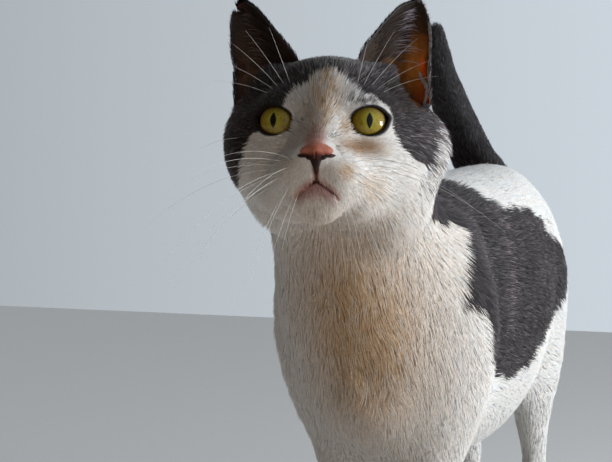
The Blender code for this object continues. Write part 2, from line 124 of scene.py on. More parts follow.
def limb_distance(points, run):
    """Distance to a tube of oval sections: that to the nearest place on each span, less the oval's radius
    on that side."""
    found = np.full(len(points), FAR)
    reach = run[:, 3:].max() + MARGIN
    around = within(points, run[:, :3].min(axis=0) - reach, run[:, :3].max(axis=0) + reach)
    close = points[around]
    nearest = found[around]
    run = list(run)
    for start, end in zip(run[:-1], run[1:]):
        reach = max(start[3:].max(), end[3:].max()) + MARGIN
        near = within(close, np.minimum(start[:3], end[:3]) - reach, np.maximum(start[:3], end[:3]) + reach)
        if not len(near):
            continue
        p = close[near]
        along = end[:3] - start[:3]
        length = np.linalg.norm(along)
        share = (p - start[:3]) @ along / length**2
        t = np.clip(share, 0.0, 1.0)
        offset = p - start[:3] - t[:, None] * along + NUDGE
        half = start[3:] + t[:, None] * (end[3:] - start[3:])
        forward = along / length
        past = ((share < 0) & (start is run[0])) | ((share > 1) & (end is run[-1]))
        blunt = half.max(axis=1) / half.min(axis=1) - 1.0
        offset += (past * blunt * (offset @ forward))[:, None] * forward
        side = np.array((1.0, 0.0, 0.0)) - forward[0] * forward
        side /= np.linalg.norm(side)
        rise = np.cross(forward, side)
        across, above = offset @ side, offset @ rise
        scaled = np.sqrt((across / half[:, 0]) ** 2 + (above / half[:, 1]) ** 2)
        radius = (np.hypot(across, above) + SOFT_CORE * half[:, 0]) / (scaled + SOFT_CORE)
        distance = np.linalg.norm(offset, axis=1) - radius
        nearest[near] = np.minimum(nearest[near], distance)
    found[around] = nearest
    return found


def oval_distance(points, centre, radii):
    """Distance to an ellipsoid: the offset from its centre, less the share of it that lies inside."""
    offset = points - np.asarray(centre, float) + NUDGE
    scaled = np.sqrt(offset**2 @ (1.0 / np.asarray(radii, float) ** 2))
    return np.linalg.norm(offset, axis=1) * (scaled - 1.0) / scaled


def placed(stations, side=1):
    """Stations given about the middle of the back, moved to the body's place; side -1 mirrors them."""
    run = np.asarray(stations, float).copy()
    run[:, 0] *= side
    run[:, :3] += BODY_SHIFT
    return run


TRUNK_FRONT = -140.0
TRUNK_LENGTH = 345.0
BACK_HEIGHT = 247.0
# Share of the trunk's length, drop of the back, depth, width.
TRUNK_SECTIONS = np.array((
    (0.00, 40.0, 80.0, 62.0),
    (0.07, 14.0, 126.0, 86.0),
    (0.17, 0.0, 155.0, 102.0),
    (0.31, -2.0, 163.0, 108.0),
    (0.47, -2.0, 164.0, 112.0),
    (0.62, -2.0, 147.0, 100.0),
    (0.72, -1.0, 134.0, 86.0),
    (0.80, 5.0, 113.0, 72.0),
))


def trunk_run():
    """The trunk's oval sections from chest to rump, hung from the line of the back."""
    share, drop, depth, width = TRUNK_SECTIONS.T
    centre_height = BACK_HEIGHT - drop - depth / 2
    ahead = TRUNK_FRONT + share * TRUNK_LENGTH
    return np.stack((0 * share, ahead, centre_height, width / 2, depth / 2), axis=1)


# Centre x, y, z, half width, half depth of each section.
NECK = (
    (3, -190, 274, 40, 36),
    (-1, -174, 251, 43.5, 44),
    (-3, -156, 225, 43, 50),
    (-2, -135, 198, 49, 58),
    (0, -122, 165, 50, 49),
    (0, -106, 132, 38, 34),
)
FORELEG = (
    (19, -90, 214, 19, 26),
    (33, -111, 184, 23, 34),
    (33, -108, 148, 20, 31),
    (26.2, -106, 114, 16.3, 21.5),
    (21.5, -114, 78, 13, 14),
    (20, -119, 44, 11.2, 11.8),
    (20, -125, 21, 12, 11.5),
)
TAIL = (
    (0, 120, 208, 19, 19),
    (-8, 156, 224, 16.5, 16.5),
    (-29, 184, 243, 15, 15),
    (-45.5, 214, 258.5, 14.5, 14.5),
    (-60, 244, 271.5, 14, 14),
    (-73.5, 274, 285, 13, 13),
    (-86, 302, 299.5, 11.5, 11.5),
    (-95.5, 327, 315, 9.8, 9.8),
    (-101, 342, 328.5, 7.2, 7.2),
)
HIND_STEP = {1: -22.0, -1: 10.0}


def hindleg(side):
    """The hind leg's sections; below the knee they move with that foot's step."""
    step = HIND_STEP[side]
    return (
        (15.5, 118, 206, 13, 36),
        (24, 118, 180, 17, 46),
        (28.5, 112, 150, 16.5, 43),
        (30.5, 107 + 0.3 * step, 121, 16, 28),
        (28.5, 121 + 0.6 * step, 93, 11.5, 18),
        (25.5, 147 + step, 67, 7.8, 13),
        (26, 144 + step, 42, 8.6, 10.5),
        (27.5, 137 + step, 22, 11.2, 11.5),
    )


TOE_PLACES = (-1.5, -0.5, 0.5, 1.5)


def paw_distance(points, side, fore):
    """A foot: a low instep over a pad, with four toes that fan out in front, each two apart by a cleft."""
    if fore:
        middle, wide, long, reach = np.array((20.0, -133.0, 0.0)), 14.2, 17.0, 12.5
    else:
        middle, wide, long, reach = np.array((28.0, 122.0 + HIND_STEP[side], 0.0)), 13.5, 21.0, 15.0
    middle[0] *= side
    p = points - BODY_SHIFT - middle
    foot = oval_distance(p, (0, 4, 11.8), (wide, long, 11))
    pad = oval_distance(p, (0, 1, 5), (wide, long, 6.2))
    found = joined(foot, pad, 5.0)
    for place in TOE_PLACES:
        toe = oval_distance(p, (7.3 * place, -reach + 1.6 * place**2, 7.2), (4.9, 9.0, 8.0))
        found = joined(found, toe, 1.6)
    return found


# Centre and radii of each mass in the head's own frame; the paired ones are mirrored.
SKULL = (
    ((0, 25, 6), (40, 34, 33)),
    ((0, 24, -5), (48, 29.5, 31)),
    ((31, 38, -4), (28.5, 24, 25)),
    ((-27, 36, 1), (26.3, 24, 24)),
    ((27, 36, -24), (23, 24, 28)),
    ((-23, 34, -14), (22.5, 23, 32)),
)
SKULL_PAIRS = (
    ((25, 17, -11), (23.5, 25, 25)),
    ((13, 8, -28), (19, 25, 18)),
    ((28.5, 25, 20), (17, 13, 15)),
)
FACE = (
    ((0, -9, -25), (18, 19, 13.5)),
    ((0, -12, -39), (12.5, 13, 11)),
)
FACE_PAIRS = (
    ((9, -16, -27.5), (12.5, 14, 11.5)),
    ((15, 1, 8), (14, 9.5, 9)),
    ((17, 1, -16), (16, 12, 13)),
    ((7.5, -9, -12), (8, 10, 10)),
)
BRIDGE = (
    (0, -27, -19.5, 6.8, 6.2),
    (0, -20, -13, 8, 7.5),
    (0, -11.5, -3.5, 9.5, 9),
    (0, -2, 9, 14, 11),
    (0, 10, 19, 19, 13),
)
SKULL_EASE = 9.0
FACE_EASE = 8.0


def with_masses(found, points, single, paired, ease):
    """A distance joined in turn to that of each mass, and of each paired mass on both sides."""
    both = [(np.multiply(centre, (side, 1, 1)), radii) for centre, radii in paired for side in (1, -1)]
    for centre, radii in (*single, *both):
        found = joined(found, oval_distance(points, centre, radii), ease)
    return found


def head_distance(points):
    """Distance to the head's outline: skull masses in a wide fillet, then the face's in a tighter one."""
    found = with_masses(np.full(len(points), FAR), points, SKULL, SKULL_PAIRS, SKULL_EASE)
    found = joined(found, limb_distance(points, smooth_run(BRIDGE, 3)), FACE_EASE)
    return with_masses(found, points, FACE, FACE_PAIRS, FACE_EASE)


HEAD_MIDDLE = (0, 15, -5)
HEAD_REACH = 75.0
NECK_EASE = 16.0
LIMB_EASE = 20.0
HEAD_EASE = 12.0
TAIL_EASE = 12.0
PAW_EASE = 5.0
PAW_HEIGHT = 60.0
TRUNK_RUN = smooth_run(placed(trunk_run()), 4)
NECK_RUN = smooth_run(placed(NECK), 5)
TAIL_RUN = smooth_run(placed(TAIL), 3)
FORELEG_RUNS = {side: smooth_run(placed(FORELEG, side), 3) for side in (1, -1)}
HINDLEG_RUNS = {side: smooth_run(placed(hindleg(side), side), 3) for side in (1, -1)}


def outline_distance(points):
    """Distance to the tips of the coat all over the animal."""
    found = limb_distance(points, TRUNK_RUN)
    found = joined(found, limb_distance(points, NECK_RUN), NECK_EASE)
    for side in (1, -1):
        for run, fore in ((FORELEG_RUNS[side], True), (HINDLEG_RUNS[side], False)):
            leg = limb_distance(points, run)
            low = np.flatnonzero((leg < FAR) & (points[:, 2] < PAW_HEIGHT))
            leg[low] = joined(leg[low], paw_distance(points[low], side, fore), PAW_EASE)
            found = joined(found, leg, LIMB_EASE)
    found = joined(found, limb_distance(points, TAIL_RUN), TAIL_EASE)
    local = to_head(points)
    near = np.flatnonzero(np.linalg.norm(local - HEAD_MIDDLE, axis=1) < HEAD_REACH)
    found[near] = joined(found[near], head_distance(local[near]), HEAD_EASE)
    return found


EYE_PLACE = 20.5
EYE_RADIUS = 11.0
EYE_TOE_OUT = math.radians(11.0)
LID_RADIUS = 12.2
LIP_LINE = np.array(((0, -27.5), (0, -32.2), (2.8, -33.4), (5.6, -35.2), (7.8, -37.0), (9.3, -38.8)), float)


def eye_axes(side):
    """An eye's own axes in the head's frame, as columns: outwards, upwards and along its gaze."""
    c, s = math.cos(EYE_TOE_OUT), math.sin(EYE_TOE_OUT)
    return np.array(((side * c, 0.0, side * s), (s, 0.0, -c), (0.0, 1.0, 0.0)))


def rim_radius(angle):
    """Radius of the gap between the lids: an oval tipped up at its outer end, drawn out to a point at
    each corner."""
    tip = math.radians(13.0)
    oval = 1.0 / np.sqrt((np.cos(angle - tip) / 8.7) ** 2 + (np.sin(angle - tip) / 6.5) ** 2)

    def corner(at, size, spread):
        turn = np.angle(np.exp(1j * (angle - math.radians(at))))
        return size * np.exp(-((turn / spread) ** 2))

    return oval + corner(213.0, 3.4, 0.17) + corner(16.0, 1.0, 0.22)


def eye_parts(local, side):
    """Each point's distance from the eyeball's centre, and from the edge of the lids' gap."""
    offset = (local - (side * EYE_PLACE, 0.0, 0.0)) @ eye_axes(side)
    out, up, ahead = offset.T
    span = np.hypot(out, up)
    edge = span - rim_radius(np.arctan2(up, out))
    return np.linalg.norm(offset, axis=1), np.where(ahead > 0.0, edge, 20.0)


def lip_distance(local):
    """Distance, seen from the front, to the line that runs down from the nose and out along both lips."""
    flat = np.stack((np.abs(local[:, 0]), local[:, 2]), axis=1)
    found = np.full(len(local), FAR)
    for start, end in zip(LIP_LINE[:-1], LIP_LINE[1:]):
        along = end - start
        t = np.clip((flat - start) @ along / (along @ along), 0.0, 1.0)
        found = np.minimum(found, np.linalg.norm(flat - start - t[:, None] * along, axis=1))
    return np.where(local[:, 1] < -6.0, found, FAR)


HEAD_HAIR = 2.1
SNOUT_HAIR = 0.55
LIP_HAIR = 0.9
LID_HAIR = 0.35


def hair_depth(points):
    """How far the hide lies under the tips of the hair: least on nose, lids, lips and feet, most on
    the chest."""
    local = to_head(points)
    _, y, z = points.T
    depth = 2.0 + 1.0 * ramp(z, 88, 142)
    depth -= 0.7 * (1 - ramp(z, 18, 44))
    chest = ramp(-y, 105, 150) * ramp(z, 120, 165) * (1 - ramp(z, 225, 262))
    depth += 0.5 * chest
    depth -= 0.8 * ramp(y, 130, 165)
    depth += near_to(local, (0, -2, -4), 36, 62) * (HEAD_HAIR - depth)
    depth += near_to(local, (0, -30, -23), 9, 27) * (SNOUT_HAIR - depth)
    lips = (1 - ramp(lip_distance(local), 1.0, 10.0)) * (1 - ramp(local[:, 1], -16.0, -8.0))
    depth += lips * (LIP_HAIR - depth)
    for side in (1, -1):
        reach, _ = eye_parts(local, side)
        depth += (1 - ramp(reach, 12.5, 21.0)) * (LID_HAIR - depth)
    return depth


# The hollow at the foot of each ear, on its outer side: centre and radii in the head's frame.
EAR_BOWLS = (((39.5, 22, 25.5), (8.2, 13.5, 15)), ((-41, 24, 28), (9, 13, 13.5)))
BOWL_REACH = 26


def hide_distance(points):
    """Distance to the bare hide: the outline drawn in by the hair's depth, with lids, eye gaps, the
    mouth's crease and the hollow at the foot of each ear."""
    found = outline_distance(points) + hair_depth(points)
    local = to_head(points)
    for centre, radii in EAR_BOWLS:
        near = np.flatnonzero(np.linalg.norm(local - centre, axis=1) < BOWL_REACH)
        found[near] = carved(found[near], oval_distance(local[near], centre, radii), 3.0)
    near = np.flatnonzero((np.abs(local[:, 0]) < 45) & (local[:, 1] < 15) & (np.abs(local[:, 2] + 15) < 45))
    face, here = found[near], local[near]
    for side in (1, -1):
        reach, edge = eye_parts(here, side)
        face = joined(face, reach - LID_RADIUS, 3.0)
        hollow = -joined(-edge, reach - 8.4, 1.0)
        face = carved(face, hollow, 1.1)
    crease = -joined(0.9 - lip_distance(here), face + 1.3, 0.8)
    face = carved(face, crease, 0.9)
    found[near] = face
    return np.maximum(found, 0.25 - points[:, 2])


def slope_of(distance, points, step=0.25):
    """Gradient of a distance from four points at the corners of a small tetrahedron."""
    corners = np.array(((1, -1, -1), (-1, -1, 1), (-1, 1, -1), (1, 1, 1)), float)
    values = [distance(points + step * corner)[:, None] * corner for corner in corners]
    return sum(values) / (4.0 * step)


def settled(distance, points, rounds=2):
    """Points moved along the slope onto the zero surface, a bounded step at a time."""
    for _ in range(rounds):
        slope = slope_of(distance, points)
        steep = np.maximum((slope**2).sum(axis=1), 0.2)
        step = -(distance(points) / steep)[:, None] * slope
        size = np.linalg.norm(step, axis=1, keepdims=True)
        points = points + step * np.minimum(1.0, 1.5 / np.maximum(size, 1e-9))
    return points


def zero_surface(distance, low, high, pitch, block=4):
    """Surface nets: one vertex at the mean of the crossings in each cell that the surface cuts, a quad round
    each grid edge that it crosses. Only blocks that may hold the surface are sampled finely."""
    low = np.asarray(low, float)
    blocks = np.ceil((np.asarray(high, float) - low) / (pitch * block)).astype(int)
    centres = np.stack(np.meshgrid(*[np.arange(n) for n in blocks], indexing="ij"), axis=-1).reshape(-1, 3)
    coarse = distance(low + (centres + 0.5) * pitch * block)
    size = blocks * block
    field = np.where(coarse.reshape(blocks) > 0, FAR, -FAR)
    field = field.repeat(block, 0).repeat(block, 1).repeat(block, 2).astype(np.float32)
    busy = centres[np.abs(coarse) < pitch * block * 1.25 + 3.0]
    inner = np.stack(np.meshgrid(*[np.arange(block)] * 3, indexing="ij"), axis=-1).reshape(-1, 3)
    index = (busy[:, None, :] * block + inner).reshape(-1, 3)
    field[tuple(index.T)] = distance(low + index * pitch)
    inside = field < 0
    corners = np.stack(np.meshgrid((0, 1), (0, 1), (0, 1), indexing="ij"), axis=-1).reshape(-1, 3)
    count = sum(
        inside[c[0]:size[0] - 1 + c[0], c[1]:size[1] - 1 + c[1], c[2]:size[2] - 1 + c[2]].astype(np.int8)
        for c in corners
    )
    cells = np.argwhere((count > 0) & (count < 8))
    number = np.full(size - 1, -1, np.int64)
    number[tuple(cells.T)] = np.arange(len(cells))
    value = np.stack([field[tuple((cells + c).T)] for c in corners], axis=1)
    total, crossings = np.zeros((len(cells), 3)), np.zeros((len(cells), 1))
    for a, start in enumerate(corners):
        for b, end in enumerate(corners):
            if (end - start).sum() != 1 or (end < start).any():
                continue
            cut = ((value[:, a] < 0) != (value[:, b] < 0))[:, None]
            t = value[:, a] / np.where(cut[:, 0], value[:, a] - value[:, b], 1.0)
            total += cut * (start + t[:, None] * (end - start))
            crossings += cut
    vertices = low + (cells + total / crossings) * pitch
    faces = []
    for axis in range(3):
        u, v = (axis + 1) % 3, (axis + 2) % 3
        step = np.eye(3, dtype=int)
        first = inside[tuple(slice(0, -1) if i == axis else slice(None) for i in range(3))]
        second = inside[tuple(slice(1, None) if i == axis else slice(None) for i in range(3))]
        edges = np.argwhere(first != second)
        edges = edges[(edges[:, u] > 0) & (edges[:, v] > 0)]
        ring = (edges, edges - step[u], edges - step[u] - step[v], edges - step[v])
        quad = np.stack([number[tuple(r.T)] for r in ring], axis=1)
        leaving = inside[tuple(edges.T)]
        faces.append(np.where(leaving[:, None], quad, quad[:, ::-1]))
    return vertices, np.vstack(faces)


def new_mesh(name, vertices, faces):
    """A mesh object at the origin from millimetre vertices and faces that all have as many sides."""
    mesh = bpy.data.meshes.new(name)
    sides = faces.shape[1]
    mesh.vertices.add(len(vertices))
    mesh.vertices.foreach_set("co", (np.asarray(vertices) * MM).astype(np.float32).ravel())
    mesh.loops.add(faces.size)
    mesh.loops.foreach_set("vertex_index", faces.astype(np.int32).ravel())
    mesh.polygons.add(len(faces))
    mesh.polygons.foreach_set("loop_start", np.arange(0, faces.size, sides, dtype=np.int32))
    mesh.polygons.foreach_set("use_smooth", np.ones(len(faces), bool))
    mesh.update(calc_edges=True)
    mesh.validate()
    piece = bpy.data.objects.new(name, mesh)
    bpy.context.scene.collection.objects.link(piece)
    return piece


def vertices_of(piece):
    """The piece's vertices in millimetres."""
    flat = np.empty(len(piece.data.vertices) * 3, np.float32)
    piece.data.vertices.foreach_get("co", flat)
    return flat.reshape(-1, 3).astype(float) / MM


def set_vertices(piece, points):
    """Puts millimetre points into the piece's vertices."""
    piece.data.vertices.foreach_set("co", (points * MM).astype(np.float32).ravel())
    piece.data.update()


def eased(piece, distance, rounds):
    """Each vertex moved to the mean of its neighbours and then back onto the surface."""
    edges = np.empty(len(piece.data.edges) * 2, np.int32)
    piece.data.edges.foreach_get("vertices", edges)
    a, b = edges.reshape(-1, 2).T
    points = vertices_of(piece)
    count = np.bincount(a, minlength=len(points)) + np.bincount(b, minlength=len(points))
    for _ in range(rounds):
        mean = np.stack([
            np.bincount(a, points[b, i], len(points)) + np.bincount(b, points[a, i], len(points))
            for i in range(3)
        ], axis=1) / np.maximum(count, 1)[:, None]
        points = settled(distance, 0.4 * points + 0.6 * mean, 1)
    set_vertices(piece, settled(distance, points, 1))


def refined(piece, wanted):
    """The faces whose vertices all pass the test are cut in four."""
    net = bmesh.new()
    net.from_mesh(piece.data)
    chosen = wanted(vertices_of(piece))
    edges = [e for e in net.edges if chosen[e.verts[0].index] and chosen[e.verts[1].index]]
    bmesh.ops.subdivide_edges(net, edges=edges, cuts=1, use_grid_fill=True)
    net.to_mesh(piece.data)
    net.free()
    piece.data.polygons.foreach_set("use_smooth", np.ones(len(piece.data.polygons), bool))


def head_and_feet(points):
    """Where the hide is modelled at half the body's pitch."""
    local = to_head(points)
    head = np.linalg.norm(local - (0, 8, -6), axis=1) < 56
    return head | (points[:, 2] < 34)


def front_of_face(points):
    """Where the hide is modelled at a quarter of the body's pitch."""
    x, y, z = to_head(points).T
    return (np.abs(x) < 35) & (y < 1) & (z < 17) & (z > -47)


def rims_and_lips(points):
    """Where the hide is modelled finest: round the gaps of the lids and along the lips."""
    local = to_head(points)
    found = (lip_distance(local) < 1.8) & (local[:, 1] < -14)
    for side in (1, -1):
        reach, edge = eye_parts(local, side)
        found |= (np.abs(edge) < 2.0) & (reach < 14.0)
    return found


HIDE_PITCH = 2.8
hide = new_mesh("hide", *zero_surface(hide_distance, (-110, -310, -6), (110, 335, 345), HIDE_PITCH))
eased(hide, hide_distance, 2)
refined(hide, head_and_feet)
eased(hide, hide_distance, 1)
refined(hide, front_of_face)
eased(hide, hide_distance, 1)
refined(hide, rims_and_lips)
eased(hide, hide_distance, 1)


# The hide shows bare on the lid rims, lips and the bridge of the nose. Elsewhere it carries the
# coat's own markings under the hair: blue-grey cap, flank and tail on white, with a buff forehead.

GREY_HAIR = np.array((0.031, 0.025, 0.0265))
WHITE_HAIR = np.array((0.80, 0.78, 0.75))
# Buff hair; on the chest the same tint also stands for painted warm bounce light.
BUFF_AND_BOUNCE_TINT = np.array((0.53, 0.345, 0.19))
BARE_PINK = np.array((0.42, 0.175, 0.125))
# Dusky lower lip skin, darkened as painted shadow under the upper lip.
LIP_SHADOW_TINT = np.array((0.34, 0.15, 0.14))
RIM_DARK = np.array((0.010, 0.006, 0.005))
BOWL_DARK = np.array((0.032, 0.022, 0.020))
# Painted light shining through the hollow at the foot of the left ear.
BOWL_BACKLIT_AMBER = np.array((0.34, 0.12, 0.030))


def ripple(points, size, seed):
    """A smooth wander between about -1 and 1: five sine waves of that length, each in its own direction."""
    chance = np.random.default_rng(seed)
    total = np.zeros(len(points))
    for _ in range(5):
        way = chance.normal(size=3)
        way *= 2 * math.pi / (size * np.linalg.norm(way)) * chance.uniform(0.7, 1.4)
        total += np.sin(points @ way + chance.uniform(0, 2 * math.pi))
    return total / 2.6


def bell(*parts):
    """1 where every value is at its centre, falling away as a bell curve. A part is a value, its centre
    and its spread."""
    return np.exp(-sum(((value - centre) / spread) ** 2 for value, centre, spread in parts))


def blob(x, y, centre, radii):
    """1 inside an oval of two coordinates, falling to 0 at its edge, where it is 0.5."""
    reach = np.hypot((x - centre[0]) / radii[0], (y - centre[1]) / radii[1])
    return np.clip(0.5 + (1.0 - reach) * min(radii) / 6.0, 0.0, 1.0)


# Height in the head's frame, and how far out the grey begins there, on the left and on the right.
CAP_EDGE_LEFT = (
    (-60, 80), (-20, 60), (-16.5, 47), (-14.5, 41), (-11, 37.5), (-7, 35.5), (-3, 33.5), (2.5, 33),
    (8, 31), (10, 28), (12, 25.5), (15, 19.5), (18, 15), (21, 12), (23, 9.5), (25, 6), (26.5, 2),
    (28.5, -5),
)
CAP_EDGE_RIGHT = (
    (-60, 80), (-40, 60), (-32, 47), (-27, 42), (-21.5, 40), (-15, 38), (-9.5, 36.5), (-6.5, 34),
    (-4.5, 29), (3, 21), (6, 18.5), (11, 17.5), (15, 15.5), (18, 12.5), (21, 8), (24, 3), (26, -2), (28, -8),
)
# The left flank's patch: its lower and upper edge as heights by distance along the body, and its front
# edge as distance along the body by height.
FLANK_LOW = (
    (-160, 186), (-146, 185), (-140, 178), (-137, 167), (-132, 156), (-92, 143), (-61, 136), (-31, 133),
    (-11, 144), (16, 154), (60, 160), (93, 164), (116, 178), (119, 200),
)
FLANK_TOP = (
    (-190, 256), (-100, 254), (-57, 246), (-45, 240), (-38, 233), (-23, 228), (6, 225), (41, 221),
    (55, 214), (66, 205), (90, 197), (113, 190), (119, 182),
)
FLANK_FRONT = (
    (186, -162), (196, -159), (205, -153), (215, -143), (221, -126), (224, -130), (227, -160),
    (232, -184), (240, -192),
)


def grey_share(points):
    """Where the coat is grey: cap and cheeks, left flank, a smaller saddle on the right, and the tail."""
    local = to_head(points)
    x, y, z = local.T
    wander = 1.0 * ripple(points, 17.0, 3) + 0.5 * ripple(points, 6.0, 4)
    height = z + wander
    left = np.interp(height, *np.transpose(CAP_EDGE_LEFT))
    right = np.interp(height, *np.transpose(CAP_EDGE_RIGHT))
    out = np.where(x > 0, x - left, -x - right)
    crown = ramp(z, 6, 24)
    out = out + 2.2 * crown * ripple(local * (1.0, 0.12, 0.12), 5.0, 8)
    soft = 1.1 + 3.4 * crown
    behind = np.where(x > 0, np.interp(z, (2, 20), (28, 39)), 39.0)
    cap = ramp(out, -soft, soft) * (1 - ramp(y + 2 * wander - 0.3 * z, behind - 4, behind + 4))
    cap *= near_to(local, (0, 12, -4), 66, 74)
    bx, by, bz = points.T
    drift = 3.0 * ripple(points, 60.0, 5) + 1.5 * ripple(points, 19.0, 6)
    along, up = by + drift, bz + 0.7 * drift
    lower = np.interp(along, *np.transpose(FLANK_LOW))
    upper = np.interp(along, *np.transpose(FLANK_TOP))
    ahead = np.interp(up, *np.transpose(FLANK_FRONT))
    flank = ramp(up - lower, -3, 3) * ramp(upper - up, -3, 3) * ramp(along - ahead, -3, 3)
    flank = flank * ramp(bx + 0.3 * drift, 8, 16)
    lobe = 10.0 * ripple(points, 55.0, 15)
    rear = blob(along + lobe, up, (36, 206), (50, 27))
    fore = blob(along, up + lobe, (-8, 190), (36, 24))
    saddle = np.maximum(rear, fore) * ramp(-bx + 0.3 * drift, 14, 24)
    tail = ramp(by + 0.5 * bz + drift, 232, 244) * ramp(bz, 203, 215)
    return np.clip(np.maximum.reduce((cap, flank, saddle, tail)), 0.0, 1.0)


def painted_highlight_bands(points):
    """Painted highlights: two bands down the flank, over the shoulder's edge and the last ribs, where the
    grey is painted paler as light catching those ridges.
    """
    _, y, z = points.T
    y = y + 2.0 * ripple(points, 16.0, 14)
    shoulder = np.interp(z, (185, 196, 211, 224, 236), (-109, -110, -105, -95, -79))
    ribs = np.interp(z, (150, 183, 201, 221), (-66, -64, -57, -39))
    bands = 0.7 * bell((y, shoulder, 7)) + bell((y, ribs, 8))
    return bands * ramp(z, 150, 180) * (1 - ramp(z, 225, 240))


def buff_and_bounce_share(points):
    """Where white hair turns buff: the forehead, the left eye's inner corner and under that eye, the left
    jaw and lip; and down the chest, where the buff is partly cream hair and partly painted warm bounce light."""
    x, y, z = to_head(points).T
    middle = np.interp(z, (-12, 0, 10, 30), (-3.5, 0.5, 2.5, 1.0))
    streak = bell((x, middle, 7.5 + 1.5 * ripple(points, 9.0, 7))) * ramp(z, -16, -2)
    streak = streak * (0.75 + 0.25 * ripple(points * (1.0, 0.3, 0.3), 3.5, 9))
    corner = 0.8 * bell((x, 12, 3.5), (z, -3, 6))
    cheek = 0.95 * bell((x, 20, 10), (z, -13, 4.5))
    jaw = 0.55 * bell((x, 26, 7), (z, -33, 9))
    lip = 0.8 * bell((x, 14, 5), (z, -28, 5))
    face = np.maximum.reduce((0.95 * streak, corner, cheek, jaw, lip)) * (1 - ramp(y, 14, 26))
    bx, by, bz = points.T
    # Down the chest: cream hair, made a stronger tan as painted warm bounce light from below.
    chest = 1.1 * bell((bx, 17, 32), (bz, 178, 62)) * ramp(-by, 100, 130)
    return np.clip(np.maximum(face, chest), 0.0, 1.0)


def shade_share(points):
    """Where the white hair is mixed with fine grey: beside the bridge of the nose, over the left eye's
    inner corner, in streaks on the left side of the muzzle, and on the ruff behind the left cheek."""
    local = to_head(points)
    x, y, z = local.T
    bridge = 0.14 * bell((x, -8, 6), (z, 1, 11))
    brow_streaks = ramp(ripple(points * (1.0, 0.3, 0.3), 4.0, 12), -0.2, 0.6)
    brow = 0.80 * brow_streaks * bell((x, 21, 9), (z, 11, 5))
    muzzle_streaks = ramp(ripple(points * (1.0, 0.4, 0.4), 4.5, 13), 0.1, 0.8)
    muzzle = 0.60 * muzzle_streaks * bell((x, 9, 7), (z, -13, 8))
    face = np.maximum.reduce((bridge, brow, muzzle)) * (1 - ramp(y, 10, 20))
    ruff = (0.45 + 0.4 * ramp(z, -22, 8)) * ramp(x, 34, 42)
    ruff = ruff * ramp(y, 14, 24) * (1 - ramp(y, 46, 56)) * ramp(z, -36, -22)
    return np.maximum(face, ruff * (np.linalg.norm(local - HEAD_MIDDLE, axis=1) < HEAD_REACH))


def temple_dark_and_eye_shade_share(points):
    """Where the hair is darker: a darker brown tone in front of the left ear, and painted shade under the
    left eye.
    """
    x, y, z = to_head(points).T
    temple = 0.62 * bell((x, 37, 11), (z, 15, 13)) * (1 - ramp(y, 34, 46))
    # Painted shade under the left eye, where the cheek's bulge keeps the light off.
    painted_shade_under_eye = 0.58 * bell((x, 18, 10), (z, -12.5, 4.5)) * (1 - ramp(y, 8, 16))
    return np.maximum(temple, painted_shade_under_eye)


def bare_share(points):
    """Where short hair lets pink skin through: above the nose leather, and along the lips and chin."""
    local = to_head(points)
    bridge = near_to(local, (-1.5, -28, -10), 4.0, 9.5, (0.8, 1.2, 1.5))
    chin = near_to(local[:, ::2], (0, -38), 2.0, 7.0, (1.15, 0.7)) * (local[:, 1] < -10)
    lips = 1 - ramp(lip_distance(local), 0.6, 2.6)
    return np.maximum.reduce((0.85 * bridge, 0.55 * chin, 0.8 * lips))


def lip_shade(points):
    """The lower lip: dusky pink skin darkened by painted shadow under the upper lip, just under the line of
    the mouth, fading down the chin.
    """
    x, y, z = to_head(points).T
    out = np.abs(x)
    below = np.interp(out, LIP_LINE[1:, 0], LIP_LINE[1:, 1]) - z
    return ramp(below, -0.3, 0.6) * (1 - ramp(below, 2.0, 8.5)) * (1 - ramp(out, 6.5, 10.5)) * (y < -8)


def bowl_share(points):
    """Where the hide lines the hollow at the foot of each ear."""
    local = to_head(points)
    found = np.zeros(len(points))
    for centre, radii in EAR_BOWLS:
        found = np.maximum(found, 1 - ramp(np.abs(oval_distance(local, centre, radii)), 0.4, 1.6))
    return found * ramp(local[:, 1], 12, 18)


def rim_share(points):
    """Where the bare skin is almost black: the rims of the lids, the tear ducts, and the mouth's crease."""
    local = to_head(points)
    found = (1 - ramp(lip_distance(local), 0.35, 0.9)) * 0.9
    for side in (1, -1):
        reach, edge = eye_parts(local, side)
        outer = ramp(side * local[:, 0], 20.0, 31.0)
        rim = (1 - ramp(edge, 0.7 + 0.9 * outer, 1.6 + 1.2 * outer)) * (reach < 15.5)
        duct = near_to(local, (side * 12.0, -10.5, -7.8), 1.2, 2.6, (1.0, 2.0, 1.7))
        found = np.maximum.reduce((found, rim, 0.9 * duct))
    return found


def mixed(base, other, share):
    """Colours blended row by row."""
    return base + np.asarray(share)[:, None] * (other - base)


def hair_colour(points):
    """The coat's colour at the roots of the hair."""
    white = mixed(np.broadcast_to(WHITE_HAIR, points.shape), BUFF_AND_BOUNCE_TINT, buff_and_bounce_share(points))
    white = mixed(white, GREY_HAIR * 3.0, shade_share(points))
    return mixed(white, GREY_HAIR, grey_share(points))


def hide_colour(points):
    """The coat's colour a little darker, with bare pink skin and dark rims over it."""
    colour = hair_colour(points) * 0.84
    colour = mixed(colour, BARE_PINK, bare_share(points))
    # Painted shadow under the upper lip, over the lower lip's dusky skin.
    colour = mixed(colour, LIP_SHADOW_TINT, 0.85 * lip_shade(points))
    # In the hollow at each ear's foot: dark flesh, with painted light shining through it on a band of the
    # left ear's hollow.
    out = to_head(points)[:, 0]
    lit = ramp(out, 36.5, 40.5) * (1 - ramp(out, 42.5, 46))
    bowl_flesh_and_glow = mixed(np.broadcast_to(BOWL_DARK, points.shape), BOWL_BACKLIT_AMBER, lit)
    colour = mixed(colour, bowl_flesh_and_glow, bowl_share(points))
    return mixed(colour, RIM_DARK, rim_share(points))


def set_colours(piece, colours):
    """A colour for each vertex, as an attribute that the material reads."""
    layer = piece.data.color_attributes.new("tint", "FLOAT_COLOR", "POINT")
    full = np.ones((len(colours), 4), np.float32)
    full[:, :3] = np.clip(colours, 0.0, 1.0)
    layer.data.foreach_set("color", full.ravel())


